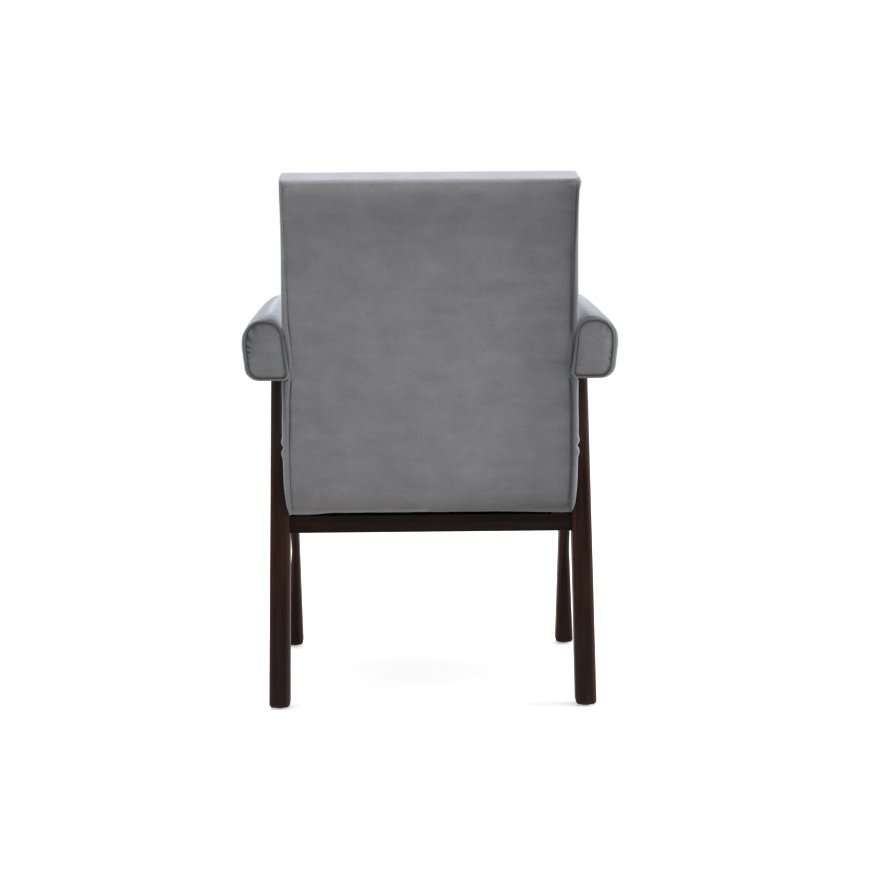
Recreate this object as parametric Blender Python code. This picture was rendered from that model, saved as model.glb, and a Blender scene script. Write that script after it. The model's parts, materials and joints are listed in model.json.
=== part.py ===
"""Upholstered armchair on slanting compass legs: wooden frame, webbing, foam and velvet covers.

Sizes are in metres and angles in degrees. The chair faces -Y, its left side is +X and it stands on z = 0.
In the side view y is measured from the middle of the rear feet, until the whole chair is centred at the end.
"""

from math import cos, hypot, pi, radians, sin, sqrt, tan

import bmesh
import bpy

# Fits and sheet goods
CLEARANCE = 0.0003  # between pieces that touch
COVER_WALL = 0.002  # velvet with its backing
STRAP_THICK = 0.002
DUST_CLOTH_THICK = 0.001

# Legs
CLEAR_WIDTH = 0.461  # between the inner faces of the lower legs
FEET_APART = 0.500  # from the rear feet to the front feet
REAR_LEG_SLANT = 17.3
FRONT_LEG_SLANT = 26.0
REAR_LEG_THICK = 0.0333  # across the chair, below the seat
REAR_LEG_THIN = 0.0208  # across the chair, above the seat
REAR_THINNING_LOW = 0.335  # heights between which the rear leg thins
REAR_THINNING_HIGH = 0.430
FRONT_FOOT_THICK = 0.0325
FRONT_LEG_THIN = 0.0205
FRONT_THINNING_HIGH = 0.215
LEG_DEPTH_FOOT = 0.042  # front to back
LEG_DEPTH_WAIST = 0.056
LEG_DEPTH_TOP = 0.042
LEG_WAIST_HEIGHT = 0.350
LEG_ROUND = 0.007
FOOT_ROUND = 0.005

# Rails between the legs
REAR_RAIL_SETBACK = 0.0115  # behind the rear face of the legs
REAR_RAIL_THICK = 0.0285
FRONT_RAIL_DEPTH = 0.030
FRONT_RAIL_HEIGHT = 0.040
SIDE_RAIL_THICK = 0.018
SIDE_RAIL_HEIGHT = 0.038
SIDE_RAIL_RISE = 0.004  # above the underside of the seat
SIDE_RAIL_INSET = 0.002
TENON_LENGTH = 0.012
TENON_WIDTH = 0.020
TENON_THICK = 0.014
SIDE_TENON_THICK = 0.010
SIDE_TENON_HEIGHT = 0.024
RAIL_ROUND = 0.003

# Seat
SEAT_SLOPE = 4.5
SEAT_UNDERSIDE = 0.3077  # height at the rear of the seat
SEAT_LENGTH = 0.404
SEAT_HEIGHT = 0.0985
SEAT_CROWN = 0.018
SEAT_EDGE = 0.018
SEAT_CORNER = 0.022
SEAT_SIDE_GAP = 0.001
SIDE_SWELL = 0.0025
SEAT_BAR_WIDTH = 0.025
SEAT_BAR_HEIGHT = 0.038
CORNER_BLOCK = 0.045
CORNER_BLOCK_HEIGHT = 0.030
SEAT_STRAPS = 3
SEAT_STRAP_WIDTH = 0.070

# Back
RECLINE = 14.7
BACK_FOOT_BEHIND = 0.0308  # its lower rear edge, behind the middle line of the rear legs
BACK_FOOT_DROP = 0.0047  # and below the underside of the seat
BACK_LENGTH = 0.5605
BACK_DEPTH = 0.066
BACK_CROWN = 0.010
BACK_EDGE = 0.014
BACK_CORNER = 0.014
BACK_WIDER = 0.0055  # stands out past the inner faces of the lower legs, each side
BACK_FOOT_INSET = 0.0015
BACK_EASE = 0.045  # length over which the side is drawn in beside an arm
BACK_FOOT_EASE_LOW = 0.030
BACK_FOOT_EASE_HIGH = 0.110
PANEL_LIP = 0.0082  # from the side of the back to the seam of the outer panel
LIP_ROUND = 0.004
PANEL_THICK = 0.006
PANEL_CROWN = 0.003
BACK_FRAME_THICK = 0.022
STILE_WIDTH = 0.025
BACK_BAR_HEIGHT = 0.040
BACK_TOP_SPACE = 0.014
BACK_STRAPS = 3
BACK_STRAP_WIDTH = 0.060

# Arms
ARM_BOTTOM = 0.5320
ARM_HEIGHT = 0.0955
ARM_WIDTH = 0.0665
ARM_LENGTH = 0.464
ARM_REAR_Y = 0.012
ARM_LAP = 0.0003  # reaches inside the inner faces of the legs
ARM_INNER_LEAN = 6.0  # the sides tip outwards, going up
ARM_OUTER_LEAN = 2.5
ARM_LEAN_HEIGHT = 0.055  # above its underside, where the width is measured
ARM_CROWN = 0.012
ARM_RISE = 0.009  # the top climbs towards the front
ARM_CROWN_FALL = 4  # power with which the crown falls off towards the ends
ARM_OUTER_SWELL = 0.002
ARM_BOTTOM_ROUND = 0.010
ARM_WELT = 0.003
ARM_WELT_LENGTH = 0.007
ARM_BOARD_THICK = 0.022
ARM_END_DEPTH = 0.008
ARM_END_RIM = 0.001
ARM_END_CROWN = 0.004

# Fasteners and glides
BOLT_RADIUS = 0.003
BOLT_HEAD_RADIUS = 0.0065
BOLT_HEAD_HEIGHT = 0.004
BOLT_CHAMFER = 0.001
BOLT_BITE = 0.025
ARM_BOLT_BITE = 0.018
BOLT_SINK = 0.0015  # of a head below the face of its piece
REAR_SEAT_BOLT_X = 0.120
HOLE_CLEARANCE = 0.0004
DOWEL_RADIUS = 0.004
DOWEL_CHAMFER = 0.001
DOWEL_BITE_LEG = 0.020
DOWEL_BITE_BOARD = 0.016
GLIDE_RADIUS = 0.010
GLIDE_HEIGHT = 0.0025
GLIDE_CHAMFER = 0.0014
GLIDE_PIN_RADIUS = 0.002
GLIDE_PIN_LENGTH = 0.014

# Facets of round shapes
ROUND_SIDES = 12
CORNER_STEPS = 3
EDGE_STEPS = 3
SIDE_STEPS = 3
EXTRA_POINTS = 3  # along a straight edge of a cushion
ARM_ROUND_STEPS = 12
ARM_SHARES = (0.08, 0.2, 0.35, 0.5, 0.65, 0.8, 0.92)  # stations along an arm
ARM_END_SHARES = (0.2, 0.5)  # rings of an arm's end panel, from its rim to its middle
CROWN_SHARES = (0.15, 0.35, 0.6, 0.85)  # rings of a crowned face, from its rim to its middle
LEAST_CORNER = 0.3  # share of a corner's radius that is always kept
SHARP_ANGLE = 40

# Values that follow from the sizes above
slope = radians(SEAT_SLOPE)
recline = radians(RECLINE)
rear_lean = tan(radians(REAR_LEG_SLANT))
front_lean = tan(radians(FRONT_LEG_SLANT))
leg_inner = CLEAR_WIDTH / 2
rear_leg_outer = leg_inner + REAR_LEG_THICK
arm_inner = leg_inner - ARM_LAP
arm_middle = arm_inner + ARM_WIDTH / 2
leg_top = ARM_BOTTOM + COVER_WALL
leg_bottom = GLIDE_HEIGHT + CLEARANCE
skin_gap = COVER_WALL + CLEARANCE
rail_top = -(DUST_CLOTH_THICK + 2 * CLEARANCE)  # in the seat's frame
seat_half = leg_inner - SEAT_SIDE_GAP
back_foot_y = BACK_FOOT_BEHIND - rear_lean * SEAT_UNDERSIDE
back_foot_z = SEAT_UNDERSIDE - BACK_FOOT_DROP
seat_rear_y = back_foot_y - (BACK_DEPTH + BACK_CROWN) * cos(recline) - CLEARANCE
back_half = leg_inner + BACK_WIDER
back_foot_half = leg_inner - BACK_FOOT_INSET
inner_lean = tan(radians(ARM_INNER_LEAN))
outer_lean = tan(radians(ARM_OUTER_LEAN))
back_arm_half = arm_inner - inner_lean * ARM_LEAN_HEIGHT - CLEARANCE
frame_front = PANEL_THICK + CLEARANCE + BACK_FRAME_THICK
stile_outer = min(back_arm_half, back_foot_half) - skin_gap


def seat_to_chair(y, z):
    """Side view of a point in the seat's frame."""
    return (seat_rear_y + y * cos(slope) + z * sin(slope), SEAT_UNDERSIDE - y * sin(slope) + z * cos(slope))


def back_to_chair(y, z):
    """Side view of a point in the back's frame."""
    chair_y = back_foot_y + y * cos(recline) + z * sin(recline)
    chair_z = back_foot_z - y * sin(recline) + z * cos(recline)
    return chair_y, chair_z


def leg_depth(z):
    if z < LEG_WAIST_HEIGHT:
        return LEG_DEPTH_FOOT + (LEG_DEPTH_WAIST - LEG_DEPTH_FOOT) * z / LEG_WAIST_HEIGHT
    share = (z - LEG_WAIST_HEIGHT) / (leg_top - LEG_WAIST_HEIGHT)
    return LEG_DEPTH_WAIST + (LEG_DEPTH_TOP - LEG_DEPTH_WAIST) * share


def rear_leg_y(z):
    return -rear_lean * z


def front_leg_y(z):
    return front_lean * z - FEET_APART


def between(value, points):
    """Height of a line of straight stretches through the given points."""
    for (low, first), (high, second) in zip(points, points[1:]):
        if value <= high:
            share = max(value - low, 0) / (high - low)
            return first + (second - first) * share
    return points[-1][1]


def rear_leg_sides(z):
    inner = between(z, [(REAR_THINNING_LOW, leg_inner), (REAR_THINNING_HIGH, rear_leg_outer - REAR_LEG_THIN)])
    return inner, rear_leg_outer


def front_leg_sides(z):
    thick = between(z, [(0, FRONT_FOOT_THICK), (FRONT_THINNING_HIGH, FRONT_LEG_THIN)])
    return leg_inner, leg_inner + thick


def clear_scene():
    for thing in list(bpy.data.objects):
        bpy.data.objects.remove(thing)


def make_finish(name, colour, roughness, metallic=0.0):
    finish = bpy.data.materials.new(name)
    finish.use_nodes = True
    shader = finish.node_tree.nodes["Principled BSDF"]
    shader.inputs["Base Color"].default_value = (*colour, 1)
    shader.inputs["Roughness"].default_value = roughness
    shader.inputs["Metallic"].default_value = metallic
    return finish


def make_empty(name, place, turn=0.0, parent=None):
    empty = bpy.data.objects.new(name, None)
    empty.location = place
    empty.rotation_euler.x = turn
    empty.parent = parent
    bpy.context.collection.objects.link(empty)
    return empty


def add_piece(name, mesh, finish, parent):
    piece = bpy.data.objects.new(name, mesh)
    mesh.materials.append(finish)
    mesh.shade_smooth()
    mesh.set_sharp_from_angle(angle=radians(SHARP_ANGLE))
    piece.parent = parent
    bpy.context.collection.objects.link(piece)
    return piece


def add_tool(name, mesh, parent):
    """A shape that only cuts or joins other pieces."""
    tool = bpy.data.objects.new(name, mesh)
    tool.parent = parent
    tool.hide_render = True
    tool.display_type = "WIRE"
    bpy.context.collection.objects.link(tool)
    return tool


def combine(piece, tool, operation):
    modifier = piece.modifiers.new(tool.name, "BOOLEAN")
    modifier.operation = operation
    modifier.solver = "EXACT"
    modifier.object = tool


def cut(piece, tool):
    combine(piece, tool, "DIFFERENCE")


def join(piece, tool):
    combine(piece, tool, "UNION")


def round_edges(piece, width):
    modifier = piece.modifiers.new("round edges", "BEVEL")
    modifier.width = width
    modifier.segments = 2
    modifier.limit_method = "ANGLE"


def skin(build, rings):
    for low, high in zip(rings, rings[1:]):
        for i in range(len(low)):
            j = (i + 1) % len(low)
            build.faces.new((low[i], low[j], high[j], high[i]))


def loft(name, rings, inner=None, tube=False):
    """A skin over rings of points. With inner rings it is a cup, or a tube that is open at both ends."""
    build = bmesh.new()
    outside = [[build.verts.new(point) for point in ring] for ring in rings]
    skin(build, outside)
    if inner is None:
        build.faces.new(outside[0])
        build.faces.new(outside[-1])
    else:
        inside = [[build.verts.new(point) for point in ring] for ring in inner]
        skin(build, inside)
        skin(build, [outside[0], inside[0]])
        if tube:
            skin(build, [outside[-1], inside[-1]])
        else:
            build.faces.new(outside[-1])
            build.faces.new(inside[-1])
    bmesh.ops.recalc_face_normals(build, faces=build.faces)
    mesh = bpy.data.meshes.new(name)
    build.to_mesh(mesh)
    build.free()
    return mesh


def box(name, low, high):
    plan = [(low[0], low[1]), (high[0], low[1]), (high[0], high[1]), (low[0], high[1])]
    return loft(name, [[(x, y, z) for x, y in plan] for z in (low[2], high[2])])


def prism(name, outline, x_low, x_high):
    """An outline in the side view, given as (y, z), carried across the chair."""
    return loft(name, [[(x, y, z) for y, z in outline] for x in (x_low, x_high)])


def turned(name, stations):
    """A round piece along its own z, from (radius, z) stations."""
    turns = [2 * pi * i / ROUND_SIDES for i in range(ROUND_SIDES)]
    return loft(name, [[(r * cos(a), r * sin(a), z) for a in turns] for r, z in stations])


def corner_arc(centre, radius, start):
    angles = [radians(start + 90 * i / CORNER_STEPS) for i in range(CORNER_STEPS + 1)]
    return [(centre[0] + radius * cos(a), centre[1] + radius * sin(a)) for a in angles]


def rounded_outline(low, high, radius, heights=(), widths=0):
    """Points round a rectangle with round corners, with extra ones up its sides and along its ends."""
    (left, bottom), (right, top) = low, high
    rise = [y for y in heights if bottom + radius < y < top - radius]
    points = corner_arc((right - radius, bottom + radius), radius, -90)
    points += [(right, y) for y in rise]
    points += corner_arc((right - radius, top - radius), radius, 0)
    across = [(i + 1) / (widths + 1) for i in range(widths)]
    points += [(right - radius + share * (left - right + 2 * radius), top) for share in across]
    points += corner_arc((left + radius, top - radius), radius, 90)
    points += [(left, y) for y in reversed(rise)]
    points += corner_arc((left + radius, bottom + radius), radius, 180)
    points += [(left + radius + share * (right - left - 2 * radius), bottom) for share in across]
    return points


def round_steps(radius, angles):
    """Steps of a rounded edge as (rise, inset), from flat at 0 degrees to upright at 90."""
    return [(radius * (1 - cos(radians(a))), radius * (1 - sin(radians(a)))) for a in angles]


def make_leg(name, side, sides_at, y_at, heights, finish, parent, grow=0.0):
    """A slanting leg whose level sections are rounded rectangles."""
    levels = [(leg_bottom + rise, inset) for rise, inset in round_steps(FOOT_ROUND, (0, 45, 90))]
    levels += [(z, 0) for z in heights]
    rings = []
    for z, inset in levels:
        inner, outer = sides_at(z)
        reach = leg_depth(z) / 2 - inset + grow
        low = (inner + inset - grow, y_at(z) - reach)
        high = (outer - inset + grow, y_at(z) + reach)
        outline = rounded_outline(low, high, LEG_ROUND - inset + grow)
        rings.append([(side * x, y, z) for x, y in outline])
    mesh = loft(name, rings)
    return add_tool(name, mesh, parent) if grow else add_piece(name, mesh, finish, parent)


def rear_leg_heights(top):
    return [REAR_THINNING_LOW, LEG_WAIST_HEIGHT, REAR_THINNING_HIGH, top]


def front_leg_heights(top):
    return [FRONT_THINNING_HIGH, LEG_WAIST_HEIGHT, top]


def make_bolt(name, length, finish, parent, place, turn=(0, 0, 0)):
    stations = [
        (BOLT_HEAD_RADIUS - BOLT_CHAMFER, -BOLT_HEAD_HEIGHT),
        (BOLT_HEAD_RADIUS, BOLT_CHAMFER - BOLT_HEAD_HEIGHT),
        (BOLT_HEAD_RADIUS, 0),
        (BOLT_RADIUS, 0),
        (BOLT_RADIUS, length),
    ]
    bolt = add_piece(name, turned(name, stations), finish, parent)
    bore = [(BOLT_RADIUS + HOLE_CLEARANCE, z) for z in (-CLEARANCE, length + CLEARANCE)]
    hole = add_tool(name + ".hole", turned(name + ".hole", bore), parent)
    for thing in (bolt, hole):
        thing.location = place
        thing.rotation_euler = turn
    return hole


def sink_head(name, piece, parent, place, turn=(0, 0, 0)):
    """A recess for the head of a bolt, open to the face that it enters."""
    recess = [(BOLT_HEAD_RADIUS + HOLE_CLEARANCE, z) for z in (-BOLT_SINK - 2 * BOLT_HEAD_HEIGHT, CLEARANCE)]
    tool = add_tool(name + ".sink", turned(name + ".sink", recess), parent)
    tool.location = place
    tool.rotation_euler = turn
    cut(piece, tool)


def cushion_outline(half, length, inset, corner, heights, widths, side_at):
    """Plan of a cushion with x across and y along it, drawn in at its sides as side_at says."""
    radius = max(corner - inset, LEAST_CORNER * corner)
    outline = rounded_outline((inset - half, inset), (half - inset, length - inset), radius, heights, widths)
    return [(x * side_at(y) / half, y) for x, y in outline]


def cushion_rings(shape, inset, base):
    """Rings up the side of a cushion from a base height, over its edge and across its crowned face."""
    plan = (shape["corner"], shape["heights"], shape["widths"], shape["side_at"])
    half, length, edge = shape["half"], shape["length"], shape["edge"]
    shoulder = shape["height"] - edge
    swell = shape["swell"]
    rings = []
    shares = [step / SIDE_STEPS for step in range(SIDE_STEPS + 1)]
    levels = [(shoulder * share, swell * (1 - sin(pi * share))) for share in shares]
    rises = [base] + [rise for rise, _ in levels if rise > base]
    for rise in rises:
        hollow = inset + between(rise, levels)
        rings.append([(x, y, rise) for x, y in cushion_outline(half, length, hollow, *plan)])
    round_edge = edge - inset
    for step in range(EDGE_STEPS):
        turn = pi / 2 * (step + 1) / EDGE_STEPS
        drawn = inset + swell + round_edge * (1 - cos(turn))
        rise = shoulder + round_edge * sin(turn)
        rings.append([(x, y, rise) for x, y in cushion_outline(half, length, drawn, *plan)])
    rim = rings[-1]
    for share in CROWN_SHARES:
        rise = shape["height"] - inset + shape["crown"] * sin(share / CROWN_SHARES[-1] * pi / 2)
        rings.append(crown_ring(rim, share, rise))
    return rings


def crown_ring(rim, share, rise):
    """A ring nearer the middle of a face than its rim, and rounder."""
    middle = (min(y for _, y, _ in rim) + max(y for _, y, _ in rim)) / 2
    half = max(x for x, _, _ in rim)
    long = max(y for _, y, _ in rim) - middle
    ring = []
    for x, y, _ in rim:
        across, along = x / half, (y - middle) / long
        shrink = (1 - share) * (1 - share + share / hypot(across, along))
        ring.append((x * shrink, middle + (y - middle) * shrink, rise))
    return ring


def seat_point(point):
    x, along, rise = point
    return (x, -along, rise)


def back_point(point):
    x, along, rise = point
    return (x, -rise, along)


def placed(rings, place):
    return [[place(point) for point in ring] for ring in rings]


def seat_shape():
    return {
        "half": seat_half,
        "length": SEAT_LENGTH,
        "height": SEAT_HEIGHT,
        "edge": SEAT_EDGE,
        "corner": SEAT_CORNER,
        "crown": SEAT_CROWN,
        "swell": SIDE_SWELL,
        "heights": [SEAT_LENGTH * (i + 1) / (EXTRA_POINTS + 1) for i in range(EXTRA_POINTS)],
        "widths": EXTRA_POINTS,
        "side_at": lambda along: seat_half,
    }


def back_side_points():
    """Half width of the back along its length: narrow at its foot and where the arms hold it."""
    face = (BACK_DEPTH + BACK_CROWN) * sin(recline)
    arm_low = (ARM_BOTTOM - ARM_WELT - back_foot_z - face) / cos(recline)
    arm_start = (ARM_BOTTOM - back_foot_z) / cos(recline)
    arm_high = (ARM_BOTTOM + ARM_HEIGHT - back_foot_z) / cos(recline)
    arm_high_half = min(back_arm_half + inner_lean * ARM_HEIGHT, back_half)
    return [
        (BACK_FOOT_EASE_LOW, back_foot_half),
        (BACK_FOOT_EASE_HIGH, back_half),
        (arm_low - BACK_EASE, back_half),
        (arm_low, back_arm_half),
        (arm_start, back_arm_half),
        (arm_high, arm_high_half),
        (arm_high + BACK_EASE, back_half),
    ]


def back_shape():
    edge_points = back_side_points()
    return {
        "half": back_half,
        "length": BACK_LENGTH,
        "height": BACK_DEPTH,
        "edge": BACK_EDGE,
        "corner": BACK_CORNER,
        "crown": BACK_CROWN,
        "swell": 0.0,
        "heights": [height for height, _ in edge_points],
        "widths": EXTRA_POINTS,
        "side_at": lambda along: between(along, edge_points),
    }


def panel_rings(shape, inset, rises):
    """Rings of the back's plan, each at its own (rise, further inset)."""
    plan = (shape["corner"], shape["heights"], shape["widths"], shape["side_at"])
    return [
        [(x, y, rise) for x, y in cushion_outline(shape["half"], shape["length"], inset + more, *plan)]
        for rise, more in rises
    ]


def arm_lean(x, z):
    """How far a point of the arm's section is moved outwards by the lean of its sides."""
    share = x / ARM_WIDTH + 1 / 2
    return (inner_lean + (outer_lean - inner_lean) * share) * (z - ARM_LEAN_HEIGHT)


def arm_section(low, high, inset, station):
    """Section of an arm between two heights above its underside, as (x outwards from its middle, z)."""
    reach = ARM_WIDTH / 2 - inset
    crown = 1 - abs(2 * station - 1) ** ARM_CROWN_FALL
    shoulder = ARM_HEIGHT - ARM_WIDTH / 2
    points = []
    if low < ARM_BOTTOM_ROUND:
        radius = ARM_BOTTOM_ROUND - inset
        points += corner_arc((radius - reach, inset + radius), radius, 180)
        points += corner_arc((reach - radius, inset + radius), radius, -90)
    else:
        points += [(-reach, low), (reach, low)]
    if high < shoulder:
        points += [(reach, high), (-reach, high)]
    else:
        angles = [pi * i / ARM_ROUND_STEPS for i in range(ARM_ROUND_STEPS + 1)]
        points += [(reach * cos(a), shoulder + reach * sin(a)) for a in angles]
    section = []
    for x, z in points:
        x = max(x, -ARM_WIDTH / 2)
        lift = max(z - shoulder / 2, 0) / (ARM_HEIGHT - shoulder / 2)
        out = ARM_OUTER_SWELL * crown * lift if x > 0 else 0
        rise = (ARM_CROWN * crown + ARM_RISE * station) * lift ** 2
        section.append((x + out * x / reach + arm_lean(x, z), z + rise))
    return section


def arm_rings(side, stations, low, high):
    """Rings along an arm from (distance from its rear end, inset) stations."""
    rings = []
    for along, inset in stations:
        share = min(max(along / ARM_LENGTH, 0), 1)
        section = arm_section(low, high, inset, share)
        rings.append([(side * (arm_middle + x), ARM_REAR_Y - along, ARM_BOTTOM + z) for x, z in section])
    return rings


clear_scene()

walnut = make_finish("stained_walnut", (0.030, 0.016, 0.013), 0.42)
beech = make_finish("beech", (0.52, 0.36, 0.20), 0.6)
velvet = make_finish("grey_velvet", (0.19, 0.19, 0.20), 0.85)
foam = make_finish("foam", (0.75, 0.68, 0.50), 0.95)
webbing = make_finish("webbing", (0.08, 0.08, 0.08), 0.9)
dust_cloth = make_finish("dust_cloth", (0.015, 0.015, 0.015), 0.95)
steel = make_finish("zinc_steel", (0.55, 0.55, 0.56), 0.35, 1.0)
nylon = make_finish("black_nylon", (0.02, 0.02, 0.02), 0.5)

chair = make_empty("chair", (0, 0, 0))
seat_axis = make_empty("seat_axis", (0, seat_rear_y, SEAT_UNDERSIDE), -slope, chair)
back_axis = make_empty("back_axis", (0, back_foot_y, back_foot_z), -recline, chair)

sides = (("left", 1), ("right", -1))


def make_legs():
    legs = {}
    for word, side in sides:
        rear = (side, rear_leg_sides, rear_leg_y)
        front = (side, front_leg_sides, front_leg_y)
        name = "rear_leg_" + word
        legs[name] = make_leg(name, *rear, rear_leg_heights(leg_top), walnut, chair)
        name = "front_leg_" + word
        legs[name] = make_leg(name, *front, front_leg_heights(leg_top), walnut, chair)
    return legs


def make_glides(legs):
    for name, leg in legs.items():
        side = 1 if name.endswith("left") else -1
        rear = name.startswith("rear")
        inner, outer = (rear_leg_sides if rear else front_leg_sides)(leg_bottom)
        middle = (rear_leg_y if rear else front_leg_y)(leg_bottom)
        place = (side * (inner + outer) / 2, middle, 0)
        glide_name = name.replace("leg", "glide")
        stations = [
            (GLIDE_RADIUS - GLIDE_CHAMFER, 0),
            (GLIDE_RADIUS, GLIDE_CHAMFER),
            (GLIDE_RADIUS, GLIDE_HEIGHT),
            (GLIDE_PIN_RADIUS, GLIDE_HEIGHT),
            (GLIDE_PIN_RADIUS, GLIDE_HEIGHT + GLIDE_PIN_LENGTH),
        ]
        glide = add_piece(glide_name, turned(glide_name, stations), nylon, chair)
        top = GLIDE_HEIGHT + GLIDE_PIN_LENGTH + CLEARANCE
        bore = [(GLIDE_PIN_RADIUS + HOLE_CLEARANCE, z) for z in (0, top)]
        hole = add_tool(glide_name + ".hole", turned(glide_name + ".hole", bore), chair)
        glide.location = place
        hole.location = place
        cut(leg, hole)


def rear_rail_span():
    """Rear and front edge of the rear rail along the seat's y."""
    height = SEAT_UNDERSIDE + rail_top - REAR_RAIL_THICK / 2
    rear_face = rear_leg_y(height) + leg_depth(height) / 2 - REAR_RAIL_SETBACK
    frame_inset = seat_frame_inset()
    return (rear_face - seat_rear_y) / cos(slope), -(frame_inset + SEAT_BAR_WIDTH)


def front_rail_middle():
    """Place of the front rail along the seat's y, on the middle line of the front legs."""
    drop = rail_top - FRONT_RAIL_HEIGHT / 2
    rise = front_lean * (SEAT_UNDERSIDE + drop * cos(slope))
    return -(seat_rear_y + drop * sin(slope) + FEET_APART - rise) / (cos(slope) + front_lean * sin(slope))


def make_cross_rail(name, y_low, y_high, thick, tenon_y, legs):
    """A rail between two legs, in the seat's frame, with a tenon into each leg."""
    reach = leg_inner - CLEARANCE
    body = box(name, (-reach, y_low, rail_top - thick), (reach, y_high, rail_top))
    rail = add_piece(name, body, walnut, seat_axis)
    round_edges(rail, RAIL_ROUND)
    middle = rail_top - thick / 2
    for grow, kind in ((0, ".tenon"), (CLEARANCE, ".mortise")):
        long = leg_inner + TENON_LENGTH + grow
        wide = TENON_WIDTH / 2 + grow
        high = TENON_THICK / 2 + grow
        low_corner = (-long, tenon_y - wide, middle - high)
        high_corner = (long, tenon_y + wide, middle + high)
        shape = box(name + kind, low_corner, high_corner)
        tool = add_tool(name + kind, shape, seat_axis)
        if grow:
            for leg in legs:
                cut(leg, tool)
        else:
            join(rail, tool)
    return rail


def side_rail_outline(grow, top, height, past):
    """Outline of a side rail, with ends cut to the slant of the legs and moved past their faces."""
    spread = (LEG_DEPTH_WAIST - LEG_DEPTH_FOOT) / LEG_WAIST_HEIGHT / 2
    rear_start = -LEG_DEPTH_FOOT / 2 + past
    front_start = LEG_DEPTH_FOOT / 2 - FEET_APART - past
    outline = []
    for level in (top + grow, top - height - grow):
        y_zero, z_zero = seat_to_chair(0, level)
        for start, lean in ((rear_start, -rear_lean - spread), (front_start, front_lean + spread)):
            y = (start + lean * (z_zero + y_zero * tan(slope))) / (1 + lean * tan(slope))
            outline.append((y, z_zero - (y - y_zero) * tan(slope)))
    return [outline[0], outline[1], outline[3], outline[2]]


def make_side_rails(legs):
    low = leg_inner + SIDE_RAIL_INSET
    middle = low + SIDE_RAIL_THICK / 2
    tenon_top = SIDE_RAIL_RISE - (SIDE_RAIL_HEIGHT - SIDE_TENON_HEIGHT) / 2
    for word, side in sides:
        name = "side_rail_" + word
        body = side_rail_outline(0, SIDE_RAIL_RISE, SIDE_RAIL_HEIGHT, -CLEARANCE)
        rail = add_piece(name, prism(name, body, side * low, side * (low + SIDE_RAIL_THICK)), walnut, chair)
        round_edges(rail, RAIL_ROUND)
        for grow, kind in ((0, ".tenon"), (CLEARANCE, ".mortise")):
            outline = side_rail_outline(grow, tenon_top, SIDE_TENON_HEIGHT, TENON_LENGTH + grow)
            half = SIDE_TENON_THICK / 2 + grow
            shape = prism(name + kind, outline, side * (middle - half), side * (middle + half))
            tool = add_tool(name + kind, shape, chair)
            if grow:
                cut(legs["rear_leg_" + word], tool)
                cut(legs["front_leg_" + word], tool)
            else:
                join(rail, tool)


def seat_frame_inset():
    """From the cushion's plan to the square corners of the frame inside its round corners."""
    inset = SIDE_SWELL + skin_gap
    facet = cos(radians(90 / CORNER_STEPS / 2))
    return inset + (1 - facet / sqrt(2)) * max(SEAT_CORNER - inset, 0)


def make_seat_frame():
    inset = seat_frame_inset()
    half = seat_half - inset
    front = -(SEAT_LENGTH - inset)
    bars = {}
    spans = {
        "seat_bar_rear": ((-half, -inset - SEAT_BAR_WIDTH), (half, -inset)),
        "seat_bar_front": ((-half, front), (half, front + SEAT_BAR_WIDTH)),
    }
    for word, side in sides:
        edges = sorted((side * half, side * (half - SEAT_BAR_WIDTH)))
        rear_end = -inset - SEAT_BAR_WIDTH - CLEARANCE
        front_end = front + SEAT_BAR_WIDTH + CLEARANCE
        spans["seat_bar_" + word] = ((edges[0], front_end), (edges[1], rear_end))
    for name, (low, high) in spans.items():
        bars[name] = add_piece(name, box(name, (*low, 0), (*high, SEAT_BAR_HEIGHT)), beech, seat_axis)
    inner = half - SEAT_BAR_WIDTH - CLEARANCE
    rear_inner = -inset - SEAT_BAR_WIDTH - CLEARANCE
    front_inner = front + SEAT_BAR_WIDTH + CLEARANCE
    for word, side in sides:
        for place, y, turn in (("rear", rear_inner, -1), ("front", front_inner, 1)):
            name = "corner_block_" + place + "_" + word
            ends = (side * (inner - CORNER_BLOCK), y), (side * inner, y + turn * CORNER_BLOCK)
            plan = [(side * inner, y), *ends]
            rings = [[(x, along, z) for x, along in plan] for z in (0, CORNER_BLOCK_HEIGHT)]
            add_piece(name, loft(name, rings), beech, seat_axis)
    return bars


def make_seat_padding():
    inset = seat_frame_inset()
    strap_low = SEAT_BAR_HEIGHT + CLEARANCE
    strap_high = strap_low + STRAP_THICK
    pitch = 2 * (seat_half - inset) / (SEAT_STRAPS + 1)
    for index in range(SEAT_STRAPS):
        name = "seat_strap_" + str(index + 1)
        middle = (index - (SEAT_STRAPS - 1) / 2) * pitch
        low = (middle - SEAT_STRAP_WIDTH / 2, inset - SEAT_LENGTH, strap_low)
        high = (middle + SEAT_STRAP_WIDTH / 2, -inset, strap_high)
        add_piece(name, box(name, low, high), webbing, seat_axis)
    shape = seat_shape()
    padding = placed(cushion_rings(shape, skin_gap, strap_high + CLEARANCE), seat_point)
    add_piece("seat_foam", loft("seat_foam", padding), foam, seat_axis)
    outer = placed(cushion_rings(shape, 0, 0), seat_point)
    inner = placed(cushion_rings(shape, COVER_WALL, 0), seat_point)
    add_piece("seat_cover", loft("seat_cover", outer, inner), velvet, seat_axis)
    low = (inset - seat_half, inset - SEAT_LENGTH, -CLEARANCE - DUST_CLOTH_THICK)
    high = (seat_half - inset, -inset, -CLEARANCE)
    return add_piece("dust_cover", box("dust_cover", low, high), dust_cloth, seat_axis)


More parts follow.
